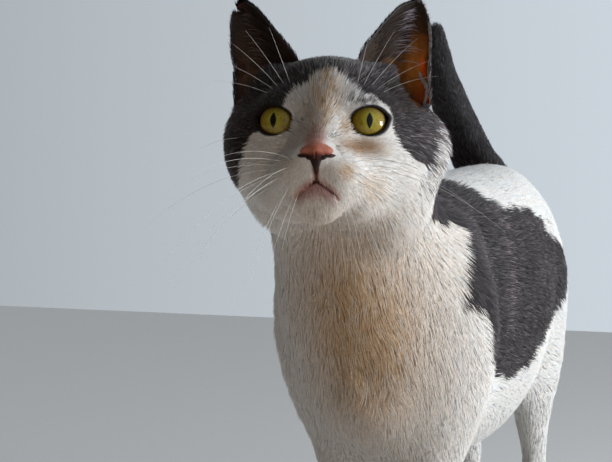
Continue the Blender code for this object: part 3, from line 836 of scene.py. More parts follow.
class Finish:
    """A material whose base colour is the piece's tint times a fine mottle on Object coordinates."""

    def __init__(self, name, roughness, mottle=(0.88, 1.08), scale=900.0, bump=0.0, bump_scale=1500.0):
        self.material = bpy.data.materials.new(name)
        self.material.use_nodes = True
        nodes, links = self.material.node_tree.nodes, self.material.node_tree.links
        self.shader = nodes["Principled BSDF"]
        self.shader.inputs["Roughness"].default_value = roughness
        tint = nodes.new("ShaderNodeAttribute")
        tint.attribute_name = "tint"
        place = nodes.new("ShaderNodeTexCoord")
        noise = nodes.new("ShaderNodeTexNoise")
        noise.inputs["Scale"].default_value = scale
        noise.inputs["Detail"].default_value = 3.0
        spread = nodes.new("ShaderNodeMapRange")
        spread.inputs["To Min"].default_value, spread.inputs["To Max"].default_value = mottle
        spread.inputs["From Min"].default_value, spread.inputs["From Max"].default_value = 0.3, 0.7
        product = nodes.new("ShaderNodeVectorMath")
        product.operation = "MULTIPLY"
        links.new(place.outputs["Object"], noise.inputs["Vector"])
        links.new(noise.outputs["Fac"], spread.inputs["Value"])
        links.new(tint.outputs["Color"], product.inputs[0])
        links.new(spread.outputs["Result"], product.inputs[1])
        links.new(product.outputs["Vector"], self.shader.inputs["Base Color"])
        if bump:
            grain = nodes.new("ShaderNodeTexNoise")
            grain.inputs["Scale"].default_value = bump_scale
            raised = nodes.new("ShaderNodeBump")
            raised.inputs["Strength"].default_value = bump
            raised.inputs["Distance"].default_value = 0.0004
            links.new(place.outputs["Object"], grain.inputs["Vector"])
            links.new(grain.outputs["Fac"], raised.inputs["Height"])
            links.new(raised.outputs["Normal"], self.shader.inputs["Normal"])

    def tuned(self, values):
        """Other inputs of the shader, set by name."""
        for name, value in values.items():
            self.shader.inputs[name].default_value = value
        return self

    def on(self, piece):
        """The material given to a piece."""
        piece.data.materials.append(self.material)
        return self


FLESH_NODES = ["head", "neck", "trunk", "tail_root", "tail_end"] + [
    f"{part}_{side}" for part in ("foreleg", "hindleg", "forepaw", "hindpaw") for side in ("left", "right")
]
set_colours(hide, hide_colour(vertices_of(hide)))
Finish("Hide", 0.66, bump=0.5).tuned({"Specular IOR Level": 0.12}).on(hide)
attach(hide, "root")
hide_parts(*FLESH_NODES)


# ---- Eyes -------------------------------------------------------------------------------------
# Each eye is a round ball set into the socket, with a yellow-green iris, a slit pupil and a dark
# ring where the iris meets the white. A wet, clear coat covers the front.

SIDES = ((1, "left"), (-1, "right"))
EYE_FIT = 0.985
IRIS_RADIUS = 8.9
PUPIL_WIDE = 1.45
PUPIL_TALL = 3.9
EYE_RINGS = 120
EYE_SIDES = 160


def eye_ball(side):
    """A ball as rings about the gaze: front pole, rings by angle and back pole, with each vertex's radius
    and angle about the gaze."""
    turn = np.linspace(0, math.pi, EYE_RINGS + 2)[1:-1]
    around = np.linspace(0, 2 * math.pi, EYE_SIDES, endpoint=False)
    turn, around = np.meshgrid(turn, around, indexing="ij")
    rings = np.stack((np.sin(turn) * np.cos(around), np.sin(turn) * np.sin(around), np.cos(turn)), axis=-1)
    unit = np.vstack(((0, 0, 1), rings.reshape(-1, 3), (0, 0, -1)))
    bulge = 1.0 + 0.035 * ramp(unit[:, 2], 0.55, 0.80)
    own = EYE_RADIUS * EYE_FIT * unit * bulge[:, None]
    first = 1 + np.arange(EYE_RINGS * EYE_SIDES).reshape(EYE_RINGS, EYE_SIDES)
    a, b = first[:-1], first[1:]
    quads = np.stack((a, b, np.roll(b, -1, 1), np.roll(a, -1, 1)), axis=-1).reshape(-1, 4)
    top = np.stack((first[0], np.roll(first[0], -1), 0 * first[0]), axis=-1)
    end = len(unit) - 1
    back = np.stack((np.roll(first[-1], -1), first[-1], 0 * first[-1] + end), axis=-1)
    triangles = np.vstack((top, back, quads[:, [0, 1, 2]], quads[:, [0, 2, 3]]))
    if side < 0:
        triangles = triangles[:, ::-1]
    out, up = own[:, 0], own[:, 1]
    radius = np.where(own[:, 2] > 0, np.hypot(out, up), FAR)
    return own, triangles, radius, np.arctan2(up, out)


def iris_colour(own, radius, angle, seed):
    """Olive yellow by radius: greener and lighter round the pupil, fine spokes outwards, painted shadow of
    the upper lid over its top, a dark ring, then the white."""
    chance = np.random.default_rng(seed)
    share = np.clip(radius / IRIS_RADIUS, 0, 1.6)
    spokes = np.zeros(len(radius))
    for count in (23, 37, 61, 97):
        wobble = 0.5 * np.sin(6 * share + chance.uniform(0, 6))
        spokes += np.sin(count * (angle + 0.02 * wobble) + chance.uniform(0, 6)) / 4
    inner, middle, outer = np.array(((0.34, 0.30, 0.035), (0.27, 0.20, 0.014), (0.13, 0.075, 0.007)))
    rusty, green = np.array(((0.22, 0.115, 0.012), (0.24, 0.24, 0.028)))
    white, black = np.array(((0.30, 0.22, 0.16), (0.004, 0.004, 0.005)))
    colour = mixed(np.broadcast_to(inner, own.shape), middle, ramp(share, 0.25, 0.62))
    colour = mixed(colour, outer, ramp(share, 0.66, 0.92))
    rust = ramp(ripple(own, 3.2, seed + 5) + 0.5 * ripple(own, 1.3, seed + 6), 0.1, 1.0)
    colour = mixed(colour, rusty, 0.6 * rust)
    colour = colour * (1.0 + 0.30 * spokes * ramp(share, 0.25, 0.6))[:, None]
    # Painted shadow of the upper lid: the iris darker towards its top.
    colour = colour * (1.0 - 0.45 * ramp(own[:, 1], 1.5, 7.0))[:, None]
    colour = mixed(colour, RIM_DARK, ramp(share, 0.86, 0.96))
    colour = mixed(colour, white, ramp(share, 1.12, 1.25) * 0.7)
    slit = np.abs(own[:, 0] - 0.3) / PUPIL_WIDE + (own[:, 1] / PUPIL_TALL) ** 2
    halo = 1 - ramp(slit, 1.15, 1.9)
    colour = mixed(colour, green, 0.45 * halo)
    pupil = (1 - ramp(slit, 0.97, 1.07)) * (own[:, 2] > 0)
    return mixed(colour, black, pupil)


for side, name in SIDES:
    own, triangles, radius, angle = eye_ball(side)
    local = own @ eye_axes(side).T + (side * EYE_PLACE, 0.0, 0.0)
    eye = new_mesh(f"eye_{name}", from_head(local), triangles)
    set_colours(eye, iris_colour(own, radius, angle, 20 + side))
    wet = Finish("Eye_" + name, 0.30, mottle=(0.85, 1.12), scale=1400.0).on(eye)
    wet.tuned({"Specular IOR Level": 0.1, "Coat Weight": 0.7, "Coat Roughness": 0.03, "Coat IOR": 1.45})
    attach(eye, "root")
    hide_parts(f"eyeball_{name}")


# ---- Nose -------------------------------------------------------------------------------------
# The nose leather is bare, pebbled skin: a wide soft pad with a wing on each side of a split lip,
# curled over two comma-shaped nostrils. It is one piece, seated in the end of the bridge.

NOSE_PITCH = 0.42
NOSE_REACH = 13
# The masses of the left nostril, from the middle outwards: centre and radii in the head's frame.
NOSTRIL = (
    ((2.9, -29.4, -21.9), (2.3, 3.7, 1.6)),
    ((5.4, -28.8, -21.3), (3.0, 3.7, 0.9)),
    ((7.2, -28.0, -20.6), (2.0, 3.4, 0.75)),
)


def nose_distance(points):
    """Distance to the leather: pad, wings and lower lip of the nose in soft fillets, less the nostrils and
    the middle groove."""
    local = to_head(points)
    found = oval_distance(local, (0, -27.6, -18.6), (6.4, 6.2, 4.6))
    found = joined(found, oval_distance(local, (0, -28.3, -23.5), (4.6, 4.6, 6.4)), 2.5)
    mirrored = local.copy()
    mirrored[:, 0] = np.abs(local[:, 0])
    found = joined(found, oval_distance(mirrored, (4.9, -27.0, -18.8), (3.1, 5.2, 2.5)), 2.0)
    flank = 0.93 * (mirrored[:, 0] - 0.40 * (local[:, 2] + 30.0))
    found = carved(found, np.maximum(-flank, local[:, 2] + 20.6), 0.6)
    comma = with_masses(oval_distance(mirrored, *NOSTRIL[0]), mirrored, NOSTRIL[1:], (), 0.8)
    found = joined(found, comma, 0.5)
    found = carved(found, oval_distance(mirrored, (3.1, -33.6, -21.9), (1.4, 1.3, 0.8)), 0.4)
    groove = np.maximum.reduce((np.abs(local[:, 0]) - 0.25, -found - 0.7, -22.6 - local[:, 2]))
    return carved(found, np.maximum(groove, local[:, 2] + 19.5), 0.4)


def nose_colour(points):
    """Dusty pink on top, redder at the wings' edge, and almost black in and under the nostrils, where dark
    leather carries painted shade of the nostril openings.
    """
    x, _, z = to_head(points).T
    pink, red, dark = np.array(((0.43, 0.150, 0.095), (0.15, 0.030, 0.020), (0.010, 0.004, 0.003)))
    colour = np.broadcast_to(pink, points.shape) * (1 + 0.12 * ripple(points, 4.0, 31))[:, None]
    colour = mixed(colour, red, 0.9 * (1 - ramp(z + 0.05 * np.abs(x), -20.6, -18.8)))
    septum = bell((x, 0, 1.1)) * (z > -23.0)
    brink = np.interp(np.abs(x), (0, 3.0, 5.5, 8.0), (-21.0, -21.0, -20.8, -20.1))
    # Painted shade: the nostril openings and the leather under the pad's edge painted almost black, over the
    # leather's own darker colour.
    under = (1 - ramp(z - brink, -0.3, 0.3)) * (1 - 0.6 * septum)
    return mixed(colour, dark, 0.94 * under)


middle = from_head((0, -27, -21))
nose_box = (middle - NOSE_REACH, middle + NOSE_REACH)
nose = new_mesh("nose_leather", *zero_surface(nose_distance, *nose_box, NOSE_PITCH))
eased(nose, nose_distance, 2)
set_colours(nose, nose_colour(vertices_of(nose)))
leather = Finish("Nose_leather", 0.42, mottle=(0.85, 1.1), scale=1300.0, bump=0.7, bump_scale=2600.0)
leather.tuned({"Specular IOR Level": 0.18, "Coat Weight": 0.06, "Coat Roughness": 0.25}).on(nose)
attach(nose, "root")
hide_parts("nose")


# ---- Ears -------------------------------------------------------------------------------------
# Each ear is a thin cupped sheet of gristle under skin, rooted in the side of the crown. Inside it is
# nearly bare and lets light through. A small pouch folds its outer edge, and the right tip has a nick.

EAR_WALL = 1.5
EAR_AROUND = 96
EAR_ALONG = 90
# The inner and outer edge of each ear from base to tip. The left ear is turned more to the front.
EAR_EDGES = {
    1: (
        ((12.5, 21, 27), (16, 21.5, 41), (21.5, 23.5, 49.6), (27, 27, 58), (33, 29.5, 65), (39, 32, 68.6)),
        ((47.5, 31, 8), (48.8, 31, 21), (47.8, 32, 34), (48.4, 33, 47), (47.2, 33.5, 59), (43.8, 34, 68)),
    ),
    -1: (
        ((13, 21, 26), (17, 21, 38), (23.1, 23.5, 46.7), (30, 27, 55.3), (37, 30.5, 64), (42.5, 32, 68.2)),
        ((46.5, 31, 8), (47.4, 31, 21), (48.6, 32, 34.5), (50, 32.5, 47), (50.2, 33.5, 60), (47.8, 34, 68.4)),
    ),
}
EAR_RUNS = {side: [smooth_run(edge, 8) for edge in edges] for side, edges in EAR_EDGES.items()}


def ear_sheet(u, v, side):
    """The ear's inner face, u from inner to outer edge and v from base to tip: a lerp of two curved edges,
    cupped backwards by a sine of u that fades to the tip, with a pouch low on the outer edge."""
    inner, outer = [
        np.stack([np.interp(v, np.linspace(0, 1, len(run)), column) for column in run.T], axis=-1)
        for run in EAR_RUNS[side]
    ]
    p = inner + u[..., None] * (outer - inner)
    hollow = np.sin(math.pi * np.clip(u, 0, 1))
    p[..., 1] += (14.0 * np.clip(1 - v, 0, 1) ** 0.8 + 0.8) * hollow
    p[..., 2] += 1.3 * hollow * v**6
    pouch = bell((v, 0.40, 0.075))
    p[..., 0] += (0.6 * side - 0.4) * pouch * ramp(u, 0.80, 0.97)
    p[..., 1] += 3.0 * pouch * bell((u, 0.87, 0.05)) - 1.6 * pouch * ramp(u, 0.9, 1.0)
    p[..., 1] -= 1.3 * bell((u, 0.30, 0.09)) * (1 - ramp(v, 0.25, 0.62))
    p[..., 1] -= 1.0 * bell((u, 0.62, 0.07)) * (1 - ramp(v, 0.35, 0.70))
    if side < 0:
        nick = bell((v - 0.905 + 0.05 * (1 - u), 0, 0.026)) * ramp(u, 0.40, 1.0)
        p[..., 0] -= 4.6 * nick
        p[..., 2] -= 0.6 * nick
    return p * (side, 1, 1)


def ear_frame(u, v, side):
    """The inner face's points with its unit normal, which points out of the ear's back, and its slopes
    along u and v."""
    p = ear_sheet(u, v, side)
    along_u = ear_sheet(u + 0.01, v, side) - ear_sheet(u - 0.01, v, side)
    along_v = ear_sheet(u, v + 0.01, side) - ear_sheet(u, v - 0.01, side)
    along_u /= np.linalg.norm(along_u, axis=-1, keepdims=True)
    along_v /= np.linalg.norm(along_v, axis=-1, keepdims=True)
    back = np.cross(along_v, along_u) * side
    back /= np.linalg.norm(back, axis=-1, keepdims=True)
    return p, back, along_u, along_v


def ear_wall(v):
    """The ear's thickness, less towards the tip."""
    return EAR_WALL * (1 - 0.55 * v)


def ear_colour(u, v, front, side):
    """Inside, dark brown flesh with painted light shining through it low on the outer half, amber on the left
    ear and faint on the right; outside, the skin under grey hair."""
    brown, dark, rim = np.array(((0.036, 0.022, 0.014), (0.026, 0.017, 0.013), (0.022, 0.015, 0.013)))
    # Painted light: the glow of light through the ear, strong on the left ear and faint on the right.
    backlit_amber = np.array((0.55, 0.215, 0.040)) if side > 0 else np.array((0.12, 0.066, 0.042))
    inside = mixed(np.broadcast_to(brown, (u.size, 3)), dark, ramp(v, 0.45, 0.95).ravel())
    backlight_glow = bell((u, 0.82, 0.36), (v, 0.38, 0.29)) * (1 - 0.6 * ramp(u, 0.93, 1.0))
    inside = mixed(inside, backlit_amber, backlight_glow.ravel())
    edge = np.maximum(ramp(u, 0.90, 0.99), 1 - ramp(u, 0.02, 0.10)) * ramp(v, 0.12, 0.3)
    inside = mixed(inside, rim, np.maximum(0.8 * edge, ramp(v, 0.90, 0.98)).ravel())
    outside = np.broadcast_to(GREY_HAIR * 0.8, inside.shape)
    return np.where(front.ravel()[:, None], inside, outside)


def tube_faces(number, ends):
    """Triangles of closed tubes, from vertex numbers by ring and by side of a ring: two for each step round
    and along, then a fan to each end's own vertex."""
    a, b = number[..., :-1, :], number[..., 1:, :]
    quads = np.stack((a, np.roll(a, -1, -1), np.roll(b, -1, -1), b), axis=-1).reshape(-1, 4)
    first, last = number[..., 0, :], number[..., -1, :]
    low = np.stack((np.roll(first, -1, -1), first, 0 * first + ends[0][..., None]), axis=-1)
    high = np.stack((last, np.roll(last, -1, -1), 0 * last + ends[1][..., None]), axis=-1)
    return np.vstack((quads[:, [0, 1, 2]], quads[:, [0, 2, 3]], low.reshape(-1, 3), high.reshape(-1, 3)))


def ear_shell(side):
    """A closed loop round the sheet at each height, thick in the middle and thin at its edges."""
    around = np.linspace(0, 2 * math.pi, EAR_AROUND, endpoint=False)
    along = np.linspace(0.0, 1.0, EAR_ALONG)
    v, around = np.meshgrid(along, around, indexing="ij")
    u = (1 - np.cos(around)) / 2
    p, back, _, _ = ear_frame(u, v, side)
    swell = np.sign(np.sin(around)) * np.abs(np.sin(around)) ** 0.6
    points = p + back * (ear_wall(v) * (0.62 - 0.5 * swell))[..., None]
    ends = np.stack((points[0].mean(axis=0), points[-1].mean(axis=0)))
    vertices = np.vstack((points.reshape(-1, 3), ends))
    number = np.arange(EAR_ALONG * EAR_AROUND).reshape(EAR_ALONG, EAR_AROUND)
    faces = tube_faces(number, number.size + np.arange(2))
    colour = np.vstack((ear_colour(u, v, np.sin(around) > 0, side), np.broadcast_to(GREY_HAIR, (2, 3))))
    return vertices, faces if side > 0 else faces[:, ::-1], colour


def outward(piece):
    """Faces turned to point out of the closed shell."""
    net = bmesh.new()
    net.from_mesh(piece.data)
    bmesh.ops.recalc_face_normals(net, faces=net.faces)
    net.to_mesh(piece.data)
    net.free()


for side, name in SIDES:
    points, faces, colour = ear_shell(side)
    ear = new_mesh(f"ear_skin_{name}", from_head(points), faces)
    set_colours(ear, colour)
    outward(ear)
    skin = Finish("Ear_skin_" + name, 0.5, mottle=(0.82, 1.12), scale=420.0, bump=0.5, bump_scale=1800.0)
    skin.tuned({"Specular IOR Level": 0.10, "Subsurface Weight": 0.6 if side > 0 else 0.25})
    skin.tuned({"Subsurface Radius": (0.004, 0.0016, 0.0008), "Subsurface Scale": 1.0}).on(ear)
    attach(ear, "root")
    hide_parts(f"ear_{name}")


# ---- Coat -------------------------------------------------------------------------------------
# The coat is short, dense and close, in tufts of hair that overlap like thatch along the body. It
# is shortest on the face and feet and longest on the chest. Each tuft is a slim spindle.

RING_ANGLES = np.radians((90.0, 210.0, 330.0))
PATCH = 0.003
PATCH_SHAPE = np.array(((0.0, -0.5), (0.0, 0.15), (-0.4, 0.0), (0.4, 0.0), (0.0, 0.5))) * PATCH
TUFT_FACES = np.array(((1, 2, 4), (2, 3, 4), (3, 1, 4), (2, 1, 0), (3, 2, 0), (1, 3, 0)))
FLOOR_GAP = 0.3
SPINDLE_SHADE = 0.28
TAIL_WAY = np.array((-0.38, 0.81, 0.44))


def unit_rows(rows):
    """Each row divided by its length."""
    return rows / np.maximum(np.linalg.norm(rows, axis=1, keepdims=True), 1e-9)


def tufted(name, root, normal, lay, length, width, rise, low_tint, high_tint, place):
    """A mesh of spindles, one for each root: a point under the skin, a flat ring of three a third of the
    way along, and a tip at the given rise. They shade mostly by the skin's own slope, so that the coat
    looks soft. Each maps to a small patch at its root's place on the region's unwrap."""
    count = len(root)
    across = unit_rows(np.cross(normal, lay))
    lay = unit_rows(np.cross(across, normal))
    shape = np.empty((count, 5, 3))
    shape[:, 0] = root - 0.4 * normal
    middle = root + lay * (0.36 * length)[:, None] + normal * (0.60 * rise)[:, None]
    for i, angle in enumerate(RING_ANGLES):
        over = (math.cos(angle) * 0.55 * width)[:, None] * across
        shape[:, 1 + i] = middle + over + (math.sin(angle) * 0.32 * width)[:, None] * normal
    shape[:, 4] = root + lay * (0.97 * length)[:, None] + normal * rise[:, None]
    shape[..., 2] = np.maximum(shape[..., 2], FLOOR_GAP)
    faces = (np.arange(count)[:, None, None] * 5 + TUFT_FACES).reshape(-1, 3)
    piece = new_mesh(name, shape.reshape(-1, 3), faces)
    slopes = np.repeat(normal[:, None], 5, axis=1)
    for i, angle in enumerate(RING_ANGLES):
        slopes[:, 1 + i] += SPINDLE_SHADE * (math.cos(angle) * across + math.sin(angle) * normal)
    slopes[:, 4] += 0.3 * lay
    piece.data.normals_split_custom_set_from_vertices(unit_rows(slopes.reshape(-1, 3)))
    # Each spindle is darker at its root than at its tip: partly the hair's own paler tips, partly painted
    # shade where the tufts overlap.
    tints = np.empty((count, 5, 3))
    tints[:, 0] = low_tint
    tints[:, 1:4] = (0.6 * low_tint + 0.4 * high_tint)[:, None]
    tints[:, 4] = high_tint
    set_colours(piece, tints.reshape(-1, 3))
    spread = place.max(axis=0) - place.min(axis=0)
    centre = 0.01 + 0.98 * (place - place.min(axis=0)) / np.maximum(spread, 1e-6)
    corners = centre[:, None] + PATCH_SHAPE
    layer = piece.data.uv_layers.new(name="OFBake")
    layer.data.foreach_set("uv", corners.reshape(-1, 2)[faces.ravel()].astype(np.float32).ravel())
    return piece


def lie_of_coat(points, normal):
    """The way the hair points: away from the nose over the head, back along the trunk, down chest and
    legs, forwards over the toes and out along the tail."""
    local = to_head(points)
    x, y, z = points.T
    ways = np.broadcast_to((0.0, 1.0, -0.30), points.shape).copy()
    chest = ramp(-normal[:, 1], -0.1, 0.5) * ramp(-y, 95, 140)
    ways = mixed(ways, np.array((0.0, 0.10, -1.0)), chest)
    ways[:, 0] += 0.25 * chest * np.sign(x - 6.0) * ramp(np.abs(x - 6.0), 2, 20)
    side_neck = ramp(-y, 120, 150) * ramp(np.abs(normal[:, 0]), 0.3, 0.8) * (1 - chest)
    ways = mixed(ways, np.array((0.0, 0.55, -0.85)), side_neck)
    outer = ramp(np.maximum(normal[:, 1], np.abs(normal[:, 0])), 0.3, 0.7)
    thigh = ramp(y, 60, 100) * outer * (1 - ramp(z, 205, 235))
    ways = mixed(ways, np.array((0.0, 0.35, -1.0)), thigh)
    leg = 1 - ramp(z, 92, 128)
    ways = mixed(ways, np.array((0.0, 0.12, -1.0)), leg)
    foot = 1 - ramp(z, 14, 34)
    ways = mixed(ways, np.array((0.0, -1.0, -0.30)), foot)
    tail = ramp(y + 0.5 * z, 238, 262) * ramp(z, 200, 225)
    ways = mixed(ways, TAIL_WAY, tail)
    away = unit_rows(local - (0, -36, -17))
    away[:, 2] -= 0.45 * ramp(np.abs(local[:, 0]), 22, 46) + 0.35 * ramp(-local[:, 2], 24, 40)
    away[:, 1] += 0.25
    return unit_rows(mixed(ways, unit_rows(away) @ HEAD_TURN.T, near_to(local, (0, 6, -6), 50, 66)))


def triangles_of(piece):
    """The piece's triangles as vertex numbers."""
    piece.data.calc_loop_triangles()
    flat = np.empty(len(piece.data.loop_triangles) * 3, np.int32)
    piece.data.loop_triangles.foreach_get("vertices", flat)
    return flat.reshape(-1, 3)


def normals_of(piece):
    """The piece's vertex normals."""
    flat = np.empty(len(piece.data.vertices) * 3, np.float32)
    piece.data.vertex_normals.foreach_get("vector", flat)
    return flat.reshape(-1, 3).astype(float)


def hair_length(depth):
    """Longer than the coat is deep, as the hair lies back."""
    return 1.7 + 2.1 * depth


def hair_width(points, depth):
    """Fine on the head and chest and a third broader behind them, with a fifth more on the legs."""
    far = ramp(points[:, 1], -135, -90)
    return (0.17 + 0.050 * depth) * (1 + 0.32 * far + 0.20 * (points[:, 2] < 118))


MOST_TUFTS = 4.2


def hair_density(points):
    """Tufts for each square millimetre: enough for their own size to cover the skin a few times, closer on
    the head, and none where the skin is bare or meets the floor."""
    depth = hair_depth(points)
    local = to_head(points)
    cover = 2.45 + 2.0 * near_to(local, (0, 0, -6), 44, 62)
    wanted = np.minimum(cover / (hair_length(depth) * hair_width(points, depth)), MOST_TUFTS)
    bare = (bowl_share(points) > 0.4) | (rim_share(points) > 0.45) | (points[:, 2] < 1.0)
    bare |= (lip_distance(local) < 0.9) | (nose_distance(points) < 1.6)
    for side in (1, -1):
        reach, edge = eye_parts(local, side)
        bare |= (edge < 1.3) & (reach < 15.0)
    return np.where(bare, 0.0, wanted)


chance = np.random.default_rng(11)
skin_points, skin_normals, skin_faces = vertices_of(hide), normals_of(hide), triangles_of(hide)
corner = skin_points[skin_faces]
area = np.linalg.norm(np.cross(corner[:, 1] - corner[:, 0], corner[:, 2] - corner[:, 0]), axis=1) / 2
share = np.cumsum(area * hair_density(corner.mean(axis=1)))
count = int(share[-1])
chosen = np.searchsorted(share, chance.uniform(0, share[-1], count))
first, second = chance.uniform(size=(2, count, 1))
fold = first + second > 1
first, second = np.where(fold, 1 - first, first), np.where(fold, 1 - second, second)
weights = np.hstack((1 - first - second, first, second))[:, :, None]
root = (skin_points[skin_faces[chosen]] * weights).sum(axis=1)
normal = unit_rows((skin_normals[skin_faces[chosen]] * weights).sum(axis=1))
keep = hair_density(root) > 0
root, normal = root[keep], normal[keep]
count = len(root)
local = to_head(root)

depth = hair_depth(root)
lay = lie_of_coat(root, normal)
comb = 0.14 * ripple(root, 26.0, 41) + 0.08 * ripple(root, 9.0, 42) + chance.normal(0, 0.07, count)
ruffle = np.maximum(
    near_to(root, (5, -215, 199), 8.0, 22.0, (1.0, 1.0, 1.3)),
    near_to(root, (20, -190, 140), 8.0, 20.0, (1.0, 1.0, 1.6)),
)
comb = comb + ruffle * (0.45 * ripple(root, 13.0, 44) + chance.normal(0, 0.12, count))
lay = unit_rows(lay + comb[:, None] * np.cross(normal, lay))
length = hair_length(depth) * chance.uniform(0.8, 1.2, count)
width = hair_width(root, depth) * chance.uniform(0.75, 1.25, count)
clumps = 1.0 + 0.07 * ripple(root, 14.0, 43) + 0.25 * ruffle
rise = depth * chance.uniform(0.72, 0.90, count) * clumps
stray = chance.uniform(size=count) < 0.03
rise = np.where(stray, rise * 1.3, rise)

shown = root + (0.6 * length)[:, None] * lay + (0.7 * rise)[:, None] * normal
grey = grey_share(shown) > chance.uniform(0.03, 0.97, count)
shaded = shade_share(shown) > chance.uniform(0.05, 1.1, count)
# Buff hair, and on the chest painted warm bounce light.
buff_and_bounce = np.clip(buff_and_bounce_share(shown) * chance.uniform(0.5, 1.4, count), 0, 1)
tint = mixed(np.broadcast_to(WHITE_HAIR, root.shape), BUFF_AND_BOUNCE_TINT, buff_and_bounce)
tint = mixed(tint, BARE_PINK * 1.25, 0.7 * bare_share(shown))
# Painted shadow under the upper lip on the lower lip's hair.
tint = mixed(tint, LIP_SHADOW_TINT, 0.85 * lip_shade(shown))
tint = np.where(shaded[:, None], GREY_HAIR * 5.0, tint)
# Grey tufts painted paler in the highlight bands on the flank.
tint = np.where(grey[:, None], GREY_HAIR * (1 + 1.1 * painted_highlight_bands(shown)[:, None]), tint)
near_head = near_to(local, (0, 6, -6), 46, 60)
# Darker brown hair in front of the left ear, and painted shade under the left eye.
darkening = temple_dark_and_eye_shade_share(shown)[:, None]
tint = tint * (1 - darkening * (0.85, 1.0, 1.1))
warmth = chance.normal(0, 0.04, count)[:, None] * (1.0, 0.0, -1.0)
tone = np.clip(chance.normal(1.0, np.where(grey, 0.35, 0.035 + 0.06 * near_head)), 0.35, 2.0)
tint = tint * (1 + warmth) * tone[:, None]
# Roots darker than tips: for grey hair partly its real pale-tipped ticking and partly painted shade between
# tufts; for white hair painted shade only.
low_tint = tint * np.where(grey, 0.55, 0.97)[:, None]
tip_lift = 0.6 + (6.5 + 4.5 * near_head) * chance.uniform(0, 1, count) ** 5
high_tint = tint * np.where(grey, tip_lift, 1.03)[:, None]
frosty = 0.28 * near_head * ramp(local[:, 2], 18, 28) * (1 - ramp(np.abs(local[:, 0]), 16, 30))
frost = grey & (chance.uniform(size=count) < frosty)
high_tint = np.where(frost[:, None], WHITE_HAIR * 0.55, high_tint)


def region_of(root, local):
    """The part of the body that each root belongs to, and its place on that part's unwrap: angle about the
    part's own axis, and distance along it. The head's is angle round and angle up from its middle."""
    region = np.full(len(root), "trunk", dtype=object)
    x, y, z = root.T
    out, height = x - BODY_SHIFT[0], z - 165.0
    place = np.stack((np.arctan2(np.abs(out), height), y), axis=1)
    rump = y > 28
    region[rump] = "rump"
    chest = (y < -98) & (z > 118)
    region[chest] = "neck"
    place[chest, 0] = np.arctan2(np.abs(out), 0.75 * (y + 150) + 0.66 * (z - 210))[chest]
    place[chest, 1] = (0.75 * z - 0.66 * y)[chest]
    for name, ahead, rows in (("foreleg", -136.0, y < -40), ("hindleg", 95.0, y > 0)):
        low = rows & (z < 118)
        region[low] = name
        middle_x = BODY_SHIFT[0] + np.sign(out) * 25.0
        place[low, 0] = np.arctan2(x - middle_x, y - ahead)[low]
        place[low, 1] = z[low]
    body = np.minimum(limb_distance(root, TRUNK_RUN), limb_distance(root, HINDLEG_RUNS[1]))
    tail = (limb_distance(root, TAIL_RUN) < body) & (y > 120) & (z > 190)
    region[tail] = "tail"
    run = TAIL_RUN[:, :3]
    on_axis = root @ TAIL_WAY
    middle = np.stack([np.interp(on_axis, run @ TAIL_WAY, column) for column in run.T], axis=1)
    place[tail, 0] = np.arctan2((root - middle)[:, 0], (root - middle)[:, 2])[tail]
    place[tail, 1] = on_axis[tail]
    centred = local - (0, 14, -6)
    reach = np.linalg.norm(centred, axis=1)
    head = (reach < 60) & (centred[:, 1] - 0.3 * centred[:, 2] < 32)
    place[head, 0] = np.arctan2(np.abs(centred[:, 0]), -centred[:, 1])[head]
    place[head, 1] = np.arcsin(np.clip(centred[:, 2] / reach, -1, 1))[head]
    region[head] = np.where(centred[head, 1] < -2, "face", "crown")
    sided = ~tail
    middle_of = np.where(head, local[:, 0], out)
    region[sided] = region[sided] + np.where(middle_of[sided] > 0, "_left", "_right")
    return region, place


region, place = region_of(root, local)
coat = Finish("Coat", 0.62, mottle=(0.90, 1.08), scale=700.0)
coat.tuned({"Sheen Weight": 0.08, "Sheen Roughness": 0.4, "Specular IOR Level": 0.2})
columns = (root, normal, lay, length, width, rise, low_tint, high_tint, place)
for name in sorted(set(region)):
    rows = np.flatnonzero(region == name)
    piece = tufted("coat_" + name, *[column[rows] for column in columns])
    coat.on(piece)
    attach(piece, "root")


# The ears carry three kinds of hair: short grey fur on the back, a sparse pale growth inside that
# sweeps out from the front edge, and a close fringe on both edges.

EAR_BROWN = np.array((0.034, 0.022, 0.016))


def ear_tufts(side, places, on_back, ways, sizes, tints, chance):
    """Tufts rooted on one ear at places in u and v, pointing along a mix of those two directions, with
    length, width and rise each drawn between its two sizes."""
    u, v = places
    on_back = np.broadcast_to(on_back, u.shape)
    p, back, along_u, along_v = ear_frame(u, v, side)
    on_face = np.where(on_back, 1.0, 0.15) * ear_wall(v)
    normal = np.where(on_back[:, None], back, -back)
    way_u, way_v = [np.asarray(way)[..., None] for way in ways]
    lay = unit_rows(along_u * way_u + along_v * way_v)
    root = from_head(p + back * on_face[:, None])
    drawn = [chance.uniform(low, high, len(u)) for low, high in sizes]
    place = np.stack((u + on_back * 1.1, v), axis=1)
    return [root, normal @ HEAD_TURN.T, lay @ HEAD_TURN.T, *drawn, *tints, place]


def hair_tubes(name, path, thick, sides):
    """Round hairs, one for each path of points, with a ring of that many sides at each point."""
    tangent = np.gradient(path, axis=1)
    tangent /= np.linalg.norm(tangent, axis=2, keepdims=True)
    across = np.cross(tangent, (0.0, 0.1, 1.0))
    across /= np.linalg.norm(across, axis=2, keepdims=True)
    above = np.cross(across, tangent)
    around = np.linspace(0, 2 * math.pi, sides, endpoint=False)
    ring = np.cos(around)[:, None] * across[:, :, None] + np.sin(around)[:, None] * above[:, :, None]
    points = path[:, :, None] + ring * thick[..., None, None]
    number = np.arange(points[..., 0].size).reshape(points.shape[:3])
    faces = tube_faces(number, number.size + np.arange(2 * len(path)).reshape(2, -1))
    ends = np.vstack((path[:, 0], path[:, -1] + tangent[:, -1] * 0.3))
    piece = new_mesh(name, np.vstack((points.reshape(-1, 3), ends)), faces)
    outward(piece)
    return piece


WISP_RINGS = 12
WISP_SIDES = 4


